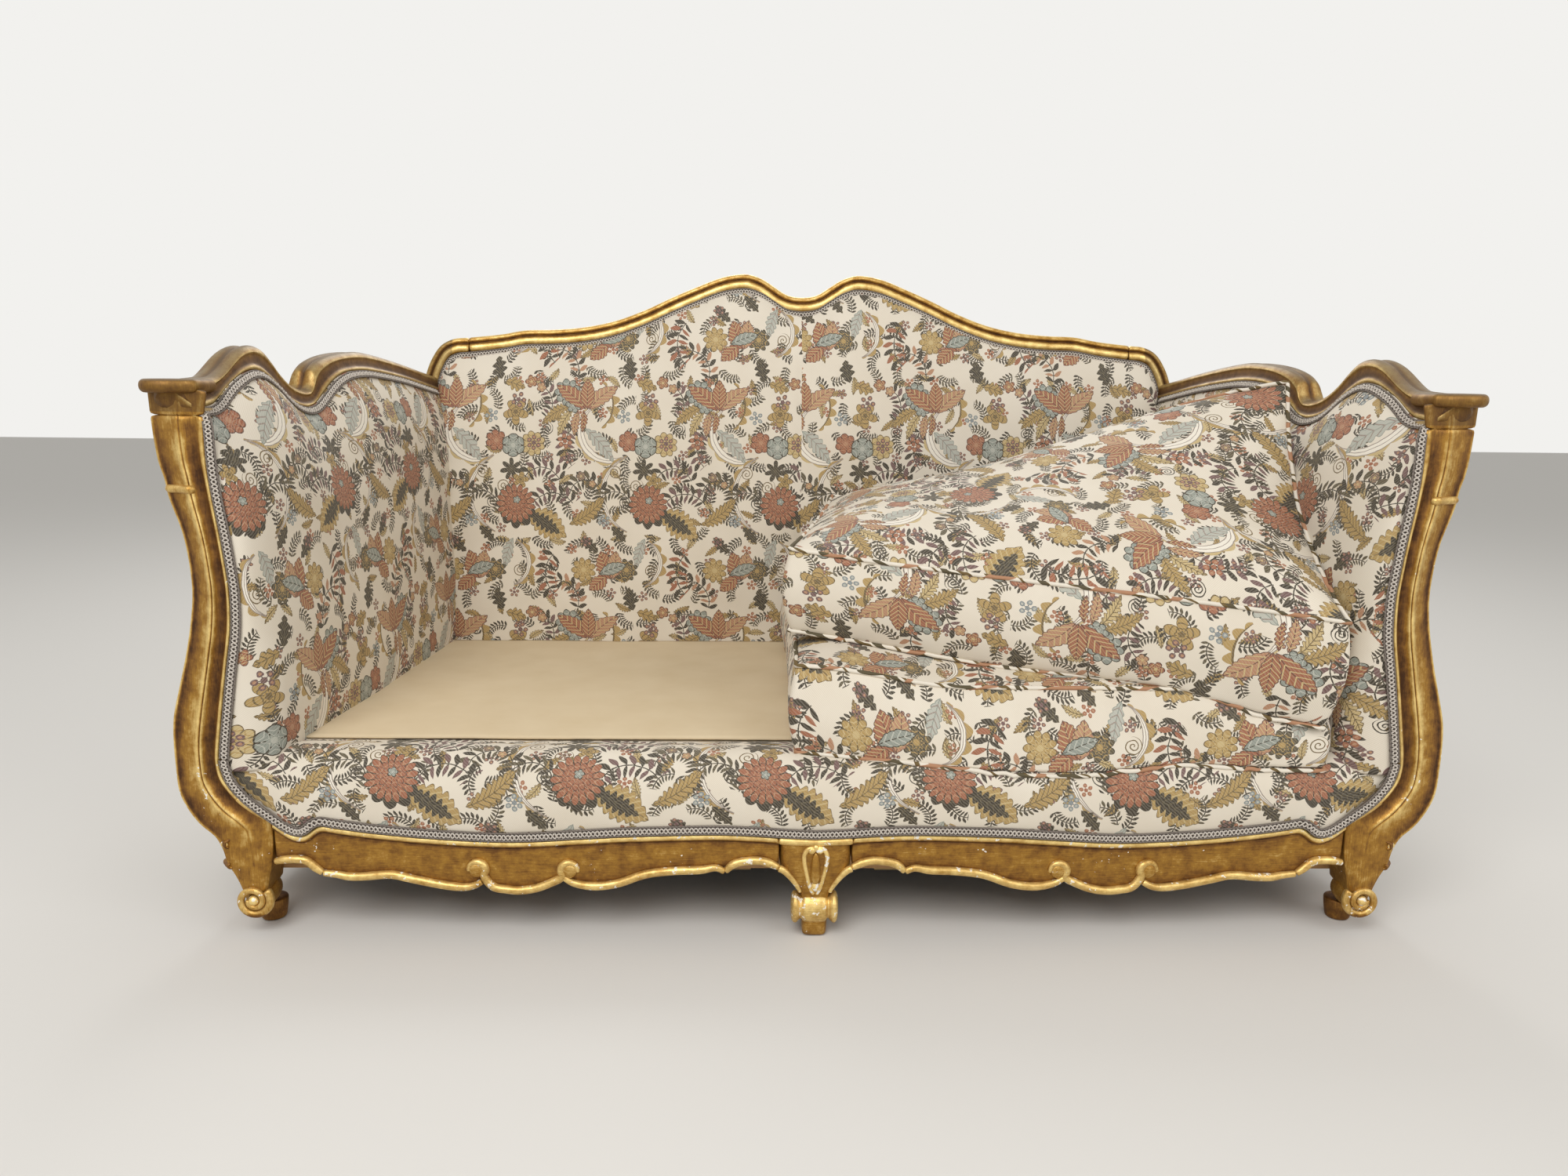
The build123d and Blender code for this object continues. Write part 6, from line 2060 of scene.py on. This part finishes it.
@dataclass
class Gimp:
    """The woven braid that covers the cut edges of the brocade: two edge cords and two that cross."""

    half: float = 6.2 * MM
    wave: float = 13 * MM
    step: float = 1.7 * MM
    inset: float = 6.5 * MM

    def lay(self, bm: BMesh, path: Sequence[Vector], outs: Sequence[Vector]) -> None:
        """Lay a length of braid along a path.

        Args:
            bm: The mesh that gets the braid.
            path: Points along the braid's middle, one step apart.
            outs: The way that the cloth faces at each of them.
        """
        frames = [(p, o, heading(path, i).cross(o).normalized()) for i, (p, o) in enumerate(zip(path, outs))]
        for hand in (-1, 1):
            edge = [p + w * hand * self.half + o * 1.2 * MM for p, o, w in frames]
            cord(bm, edge, lambda share: 1.5 * MM, 5, wear_and_shade=-0.7)
            strand = []
            for i, (p, o, w) in enumerate(frames):
                phase = math.tau * i * self.step / self.wave
                lift = 2.0 + 0.8 * hand * math.cos(2 * phase)
                strand.append(p + w * hand * 3.9 * MM * math.sin(phase) + o * lift * MM)
            cord(bm, strand, lambda share: 1.35 * MM, 5, wear_and_shade=1.0)
        ribbon = [[p + w * k * self.half + o * h * MM for k, h in ((-1, -1), (-1, 0.6), (1, 0.6), (1, -1))]
                  for p, o, w in frames[::4] + frames[-1:]]
        loft(bm, ribbon, [-1.0] * 4)

    def beside(self, points: Sequence[Vector], hand: int) -> list[Vector]:
        """Return even steps along a flat line, moved to its left for 1 or to its right for -1.

        Args:
            points: Points of the line.
            hand: 1 or -1.

        Returns:
            The moved steps.
        """
        line = evenly(points, self.step)
        ways = [heading(line, i) for i in range(len(line))]
        return [point + Vector((-way.y, way.x, 0)) * hand * self.inset for point, way in zip(line, ways)]

    def front(self) -> BMesh:
        """Return the braid along the front rail and the posts' feet.

        Returns:
            The mesh.
        """
        half = [(x, CLOTH_EDGE(x)) for x in (CLOTH_END * k / 150 for k in range(151))] + [(0.8968, 0.284)]
        line = [Vector((-x, z, 0)) for x, z in half[:0:-1]] + [Vector((x, z, 0)) for x, z in half]
        path = []
        for point in self.beside(line, 1):
            shown = rail_front(point.x) - 5.5 * MM - 5.0 * MM * ease((abs(point.x) - 0.80) / 0.06)
            path.append(Vector((point.x, shown, point.y)))
        bm = new_mesh()
        self.lay(bm, path, [FORWARD] * len(path))
        return bm

    def arm(self) -> BMesh:
        """Return the braid up the right-hand post and back along the arm, laid on the pad.

        Returns:
            The mesh.
        """
        post = [Vector((POST_INNER(z) - 7 * MM, POST_FRONT - 1.5 * MM, z)) for z in (
            0.286 + 0.024 * k for k in range(21))]
        corner = [Vector((0.8725, -0.4365, 0.786)), Vector((0.878, -0.431, 0.7955))]
        pad = ArmPad()
        pad.lay_out()
        slope = UP * 0.6 - ARM_OUT * 0.8
        arm = [pad.surface(0.07 + 0.92 * k / 45, pad.rise(8 * MM))[0] + slope * MM for k in range(46)]
        path = evenly(through(post + corner + arm, 4), self.step)
        bm = new_mesh()
        self.lay(bm, path, [FORWARD.lerp(slope, ease((p.y + 0.437) / 0.02)).normalized() for p in path])
        return bm

    def back(self) -> BMesh:
        """Return the braid under the crest.

        Returns:
            The mesh.
        """
        places = [0.792 * (k / 240 - 1) for k in range(481)]
        pad = BackPad()
        line = self.beside([Vector((x, pad.top(abs(x)), 0)) for x in places], -1)
        path = [Vector((p.x, back_y(p.y) - 4.0 * MM, p.y)) for p in line]
        bm = new_mesh()
        self.lay(bm, path, [BACK_FACING] * len(path))
        return bm

    def dress(self, finishes: Finishes) -> None:
        """Put all the braid in place.

        Args:
            finishes: The materials of all the pieces.
        """
        make_piece("braid_front", self.front(), finishes.gimp, "gimp_braid", ["front_gimp"], levels=0)
        make_pair("braid_{}_arm", "{}_arm_gimp", self.arm(), finishes.gimp, "gimp_braid", levels=0)
        make_piece("braid_back", self.back(), finishes.gimp, "gimp_braid", ["back_gimp"], levels=0)


# Loose cushions

Neighbour = tuple[BVHTree, Vector]


@dataclass
class BoxCushion:
    """A loose box cushion: two faces, a boxing strip between them and piping along both seams.

    The box is drawn from its front lower edge, tipped more and more towards its right-hand end, and then
    blown up as cloth. A tipped stretch keeps its boxing upright.
    """

    name: str
    left: Vector
    right: Vector
    turn: tuple[float, float]
    tilt: tuple[float, float]
    curl: float
    bend: float
    depth: tuple[float, float]
    height: tuple[float, float]
    sunk: float
    crown: float
    sideways: bool
    droop: Vector = field(default_factory=Vector)
    spread: float = 0.0
    spacing: float = 0.013
    piping: float = 3.4 * MM
    pull: float = 0.005
    bulge: float = 0.012
    swell_cap: float = 0.026
    pressure: float = 4.0
    clearance: float = 2.0 * MM
    search: float = 0.25
    seed: float = 0.0
    frames: int = 20

    def run_back(self, lean: float, share: float) -> Vector:
        """Return how far back and up a share of the depth reaches, on an arc that steepens as it goes.

        Args:
            lean: How steep the whole depth is, in radians.
            share: Share of the depth, from 0 to 1.

        Returns:
            The reach back and up, for a depth of 1.
        """
        start = lean * (1 - self.bend)
        change = 2 * lean * self.bend
        if abs(change) < 1e-6:
            return Vector((math.cos(lean) * share, math.sin(lean) * share))
        end = start + change * share
        return Vector((math.sin(end) - math.sin(start), math.cos(start) - math.cos(end))) / change

    def place(self, a: float, b: float, c: float) -> Vector:
        """Return where a point of the plain box is, from its shares across, back and up.

        Args:
            a: Share across, from 0 to 1.
            b: Share back.
            c: Share up.

        Returns:
            The point.
        """
        corner = self.left.lerp(self.right, a)
        turn = math.radians(between(self.turn, a))
        lean = math.radians(between(self.tilt, a ** self.curl))
        depth = between(self.depth, a)
        height = between(self.height, ease(a / self.sunk))
        out = Vector((math.cos(turn), math.sin(turn), 0))
        back = UP.cross(out)
        ends, sides = abs(2 * a - 1), abs(2 * b - 1)
        belly = self.bulge * math.sin(math.pi * c)
        inward = (self.pull * math.sin(math.pi * b) - belly) * ends ** 10 * math.copysign(1, 0.5 - a)
        forward = (self.pull * math.sin(math.pi * a) - belly) * sides ** 10 * math.copysign(1, 0.5 - b)
        arc = self.run_back(lean, b) * depth
        point = corner + back * (arc.x + forward) + UP * (arc.y + height * c)
        point += out * (inward + self.spread * a ** 4 * c)
        swell = (1 - ends ** 5) * (1 - sides ** 5)
        hang = 0.35 + 0.65 * math.sin(math.pi * min(a * 1.1, 0.8))
        point += self.droop * (1 - b) ** 6 * (1 - c) * hang
        return point + (UP - back * math.sin(lean)) * self.crown * swell * ease(c)

    def cloth_place(self, flat: int, size: Vector, share: Vector) -> tuple[float, float]:
        """Return the place on the cloth of a point on one of the box's sides.

        Args:
            flat: The axis that the side faces along.
            size: The box's sizes.
            share: The point's shares of them.

        Returns:
            The place, in metres.
        """
        across, back, up = (share[k] * size[k] for k in range(3))
        if flat == 2:
            return (back, -across) if self.sideways else (across, back)
        run = across if flat == 1 else back
        return (-run, -up) if self.sideways else (run, up)

    def mesh(self) -> tuple[BMesh, list[Vector]]:
        """Return the plain box, evenly divided, and the shares of its points.

        Returns:
            The box, and each point's shares.
        """
        bm = new_mesh()
        cloth = bm.loops.layers.uv[CLOTH_MAP]
        size = Vector(((self.right - self.left).length, max(self.depth), max(self.height)))
        bmesh.ops.create_cube(bm, size=1.0)
        for axis in range(3):
            edges = [e for e in bm.edges if abs(e.verts[0].co[axis] - e.verts[1].co[axis]) > 0.5]
            cuts = round(size[axis] / self.spacing)
            bmesh.ops.subdivide_edges(bm, edges=edges, cuts=cuts, use_grid_fill=True)
        bm.normal_update()
        shares = {v: v.co + Vector((0.5, 0.5, 0.5)) for v in bm.verts}
        for face in bm.faces:
            flat = max(range(3), key=lambda k: abs(face.normal[k]))
            for loop in face.loops:
                loop[cloth].uv = self.cloth_place(flat, size, shares[loop.vert])
        for vert, share in shares.items():
            vert.co = self.place(*share)
        return bm, [shares[v] for v in bm.verts]

    def blow_up(self, piece: Object, shares: Sequence[Vector]) -> None:
        """Fill the cover: cloth under pressure between seams that hold, and no point moves beyond a limit.

        Args:
            piece: The cover.
            shares: Where each of its points is on the box.
        """
        held = piece.vertex_groups.new(name="seams")
        for k, (a, b, c) in enumerate(shares):
            if min(c, 1 - c) < TINY and min(a, 1 - a, b, 1 - b) < TINY:
                held.add([k], 0.6, "REPLACE")
        cloth = piece.modifiers.new("Filling", "CLOTH")
        settings = {"vertex_group_mass": held.name, "quality": 6, "tension_stiffness": 30.0,
                    "compression_stiffness": 30.0, "bending_stiffness": 2.0, "use_pressure": True,
                    "uniform_pressure_force": self.pressure}
        for setting, value in settings.items():
            setattr(cloth.settings, setting, value)
        cloth.settings.effector_weights.gravity = 0.0
        cloth.collision_settings.use_collision = False
        for number in range(1, self.frames + 1):
            bpy.context.scene.frame_set(number)
        filled = piece.evaluated_get(bpy.context.evaluated_depsgraph_get())
        for vert, swollen in zip(piece.data.vertices, filled.data.vertices):
            move = swollen.co - vert.co
            vert.co += move * min(1.0, self.swell_cap / max(move.length, MM))
        piece.modifiers.remove(cloth)
        piece.vertex_groups.remove(held)
        bpy.context.scene.frame_set(1)

    def settle(self, piece: Object, shares: Sequence[Vector], near: Sequence[Neighbour]) -> None:
        """Add the puckers along the seams, and press the cover flat where it rests on its neighbours.

        Args:
            piece: The cover.
            shares: Where each of its points is on the box.
            near: The surfaces of its neighbours, each with the way that leads to it.
        """
        for vert, share in zip(piece.data.vertices, shares):
            edge = min(share.x, 1 - share.x, 0.8 * share.y, 0.8 * (1 - share.y))
            run = Vector((share.x * 60, share.y * 46, self.seed))
            pucker = math.exp(-edge / 0.045) * noise.noise(run) * 2.6 * MM
            dent = noise.noise(Vector((share.x * 5, share.y * 4, self.seed + 5))) * 3.0 * MM
            vert.co += vert.normal * (pucker + dent * (1 - math.exp(-edge / 0.1)))
            for tree, way in near:
                hit = tree.ray_cast(vert.co - way * self.search, way, self.search + self.clearance)[0]
                if hit:
                    vert.co = hit - way * self.clearance

    def seam(self, piece: Object, shares: Sequence[Vector], level: float) -> list[Vector]:
        """Return the points of one seam in order, all the way round.

        Args:
            piece: The cover.
            shares: Where each of its points is on the box.
            level: 0 for the lower seam and 1 for the upper one.

        Returns:
            Points a little outside the cover.
        """
        ring = []
        for vert, (a, b, c) in zip(piece.data.vertices, shares):
            if abs(c - level) > TINY:
                continue
            if b < TINY:
                ring.append((a, vert))
            elif a > 1 - TINY:
                ring.append((1 + b, vert))
            elif b > 1 - TINY:
                ring.append((3 - a, vert))
            elif a < TINY:
                ring.append((4 - b, vert))
        ring.sort(key=lambda item: item[0])
        return [vert.co + vert.normal * 0.4 * MM for _, vert in ring]

    def dress(self, finishes: Finishes, near: Sequence[Neighbour]) -> Object:
        """Put the cushion and its piping in place.

        Args:
            finishes: The finishes.
            near: The surfaces of its neighbours, each with the way that leads to it.

        Returns:
            The cover.
        """
        bm, shares = self.mesh()
        cover = make_piece(f"brocade_{self.name}", bm, finishes.brocade, "brocade",
                           [f"{self.name}_cover", f"{self.name}_core"], self.name, levels=0)
        self.blow_up(cover, shares)
        self.settle(cover, shares, near)
        rounding = cover.modifiers.new("Rounding", "SUBSURF")
        rounding.levels = rounding.render_levels = 1
        bm = new_mesh()
        for level in (0.0, 1.0):
            path = evenly(self.seam(cover, shares, level), 6 * MM)
            cord(bm, path[:-1], lambda share: self.piping, 8, closed=True)
        piping = make_piece(f"piping_{self.name}", bm, finishes.piping, "brocade", body=self.name, levels=0)
        LOG.info("%s filled, piping of %d faces", self.name, len(piping.data.polygons))
        return cover


def lower_cushion() -> BoxCushion:
    """Return the cushion that lies on the deck and hangs a little over the roll.

    Returns:
        The cushion.
    """
    return BoxCushion("lower_cushion", Vector((-0.032, -0.392, 0.2925)), Vector((0.786, -0.392, 0.2925)),
                      turn=(0, 2), tilt=(0, 0), curl=1, bend=0, depth=(0.640, 0.640), height=(0.130, 0.094),
                      sunk=0.34, crown=0.016, sideways=False, droop=Vector((0, -0.056, -0.030)),
                      swell_cap=0.018)


def upper_cushion() -> BoxCushion:
    """Return the cushion that lies tipped on the lower one, its rear right corner up against the arm.

    Returns:
        The cushion.
    """
    return BoxCushion("upper_cushion", Vector((-0.040, -0.262, 0.449)), Vector((0.778, -0.434, 0.338)),
                      turn=(-11, -2), tilt=(3, 50), curl=1.6, bend=0.5, depth=(0.545, 0.480),
                      height=(0.136, 0.166), sunk=1.0, crown=0.060, sideways=True, spread=0.022, seed=20.0)


def surface_of(name: str) -> BVHTree:
    """Return a piece's surface, ready to be met by rays."""
    mesh = bpy.data.objects[name].data
    return BVHTree.FromPolygons([v.co for v in mesh.vertices], [p.vertices for p in mesh.polygons])


# Studio

@dataclass
class Studio:
    """A pale floor, soft light and the camera at the photograph's place."""

    eye: Vector = field(default_factory=lambda: Vector((-0.093, -2.032, 0.860)))
    yaw: float = math.radians(1.43)
    pitch: float = math.radians(10.9)
    roll: float = math.radians(0.68)
    focal_pixels: float = 1406.0
    photo_width: float = 2000.0
    floor_colour: str = "#D8D5D0"
    sky_colour: str = "#F2F1EE"
    ambient: float = 0.55

    def camera(self) -> None:
        """Set up the camera."""
        data = bpy.data.cameras.new("Camera")
        data.sensor_width = 36.0
        data.lens = self.focal_pixels / self.photo_width * data.sensor_width
        camera = new_object("Camera", data)
        turn = Matrix.Rotation(-self.yaw, 4, "Z") @ Matrix.Rotation(math.pi / 2 - self.pitch, 4, "X")
        camera.matrix_world = Matrix.Translation(self.eye) @ turn @ Matrix.Rotation(self.roll, 4, "Z")
        bpy.context.scene.camera = camera

    def lamp(self, name: str, place: Vector, target: Vector, size: float, power: float) -> None:
        """Add a large soft lamp that looks at a target.

        Args:
            name: The lamp's name.
            place: Where it hangs.
            target: What it looks at.
            size: Width of its light, in metres.
            power: Its power in watts.
        """
        data = bpy.data.lights.new(name, "AREA")
        data.size = size
        data.energy = power
        turn = (target - place).to_track_quat("-Z", "Y").to_matrix().to_4x4()
        new_object(name, data).matrix_world = Matrix.Translation(place) @ turn

    def floor(self) -> None:
        """Lay the floor."""
        bm = bmesh.new()
        bmesh.ops.create_grid(bm, x_segments=1, y_segments=1, size=12.0)
        mesh = bpy.data.meshes.new("floor")
        bm.to_mesh(mesh)
        bm.free()
        material, _, shader = new_material("Pale_floor")
        set_inputs(shader, {"Base Color": linear(self.floor_colour), "Roughness": 0.7})
        mesh.materials.append(material)
        new_object("floor", mesh)

    def world(self) -> None:
        """Give soft light from all round."""
        world = bpy.data.worlds.new("Studio")
        bpy.context.scene.world = world
        world.use_nodes = True
        tree = world.node_tree
        path = add_node(tree, "LightPath").outputs
        seen = Wire(path["Is Camera Ray"]) | Wire(path["Is Glossy Ray"]) | Wire(path["Is Transmission Ray"])
        strength = seen.reckon("MULTIPLY_ADD", 1.0 - self.ambient, self.ambient)
        set_inputs(tree.nodes["Background"], {"Color": linear(self.sky_colour), "Strength": strength})

    def set_up(self) -> None:
        """Build the whole studio."""
        self.camera()
        self.floor()
        self.world()
        target = Vector((0, 0, 0.5))
        for name, place, power in (("Key", (-1.2, -3.2, 3.4), 110.0), ("Fill", (2.6, -2.6, 2.6), 40.0),
                                   ("Rim", (0.0, 3.0, 3.2), 60.0)):
            self.lamp(name, Vector(place), target, 2.6, power)
        bpy.context.scene.view_settings.view_transform = "Standard"


@dataclass
class HiddenPieces:
    """The pieces inside the upholstery, which keep their solids and get their own finishes."""

    def dress(self, finishes: Finishes) -> None:
        """Give every solid that still shows its finish.

        Args:
            finishes: The materials of all the pieces.
        """
        groups = {
            "beech": ("back_centre_stile", "back_lower_rail", "corner_blocks", "frame_dowels",
                      "inner_front_rail", "left_arm_tack_rail", "right_arm_tack_rail", "left_seat_rail",
                      "right_seat_rail", "rear_seat_rail", "seat_stretcher"),
            "steel": ("frame_screws", "seat_springs"),
            "webbing": ("back_webbing", "seat_webbing_cross", "seat_webbing_long"),
            "hessian": ("spring_hessian",),
            "stuffing": ("seat_stuffing",),
        }
        for finish, nodes in groups.items():
            for node in nodes:
                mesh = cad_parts[node].data
                mesh.materials.clear()
                mesh.materials.append(getattr(finishes, finish))


def main() -> None:
    """Build the sofa and its studio."""
    logging.basicConfig(level=logging.INFO, format="%(name)s %(message)s")
    finishes = Finishes()
    post = FrontPost()
    post.dress(finishes)
    FrontRail().dress(finishes)
    CentreLeg().dress(finishes)
    ArmRail().dress(finishes, post)
    BackFrame().dress(finishes)
    SeatFront().dress(finishes)
    ArmPad().dress(finishes)
    BackPad().dress(finishes)
    OutsideCover().dress(finishes)
    Gimp().dress(finishes)
    arm = (surface_of("brocade_right_inside_arm_pad"), RIGHT)
    back = (surface_of("brocade_inside_back_pad"), -FORWARD)
    seat = [(surface_of(name), -UP) for name in ("brocade_front_roll", "linen_deck")]
    lower = lower_cushion().dress(finishes, [arm, back, *seat])
    upper_cushion().dress(finishes, [arm, back, (surface_of(lower.name), -UP)])
    HiddenPieces().dress(finishes)
    Studio().set_up()


if __name__ == "__main__":
    main()
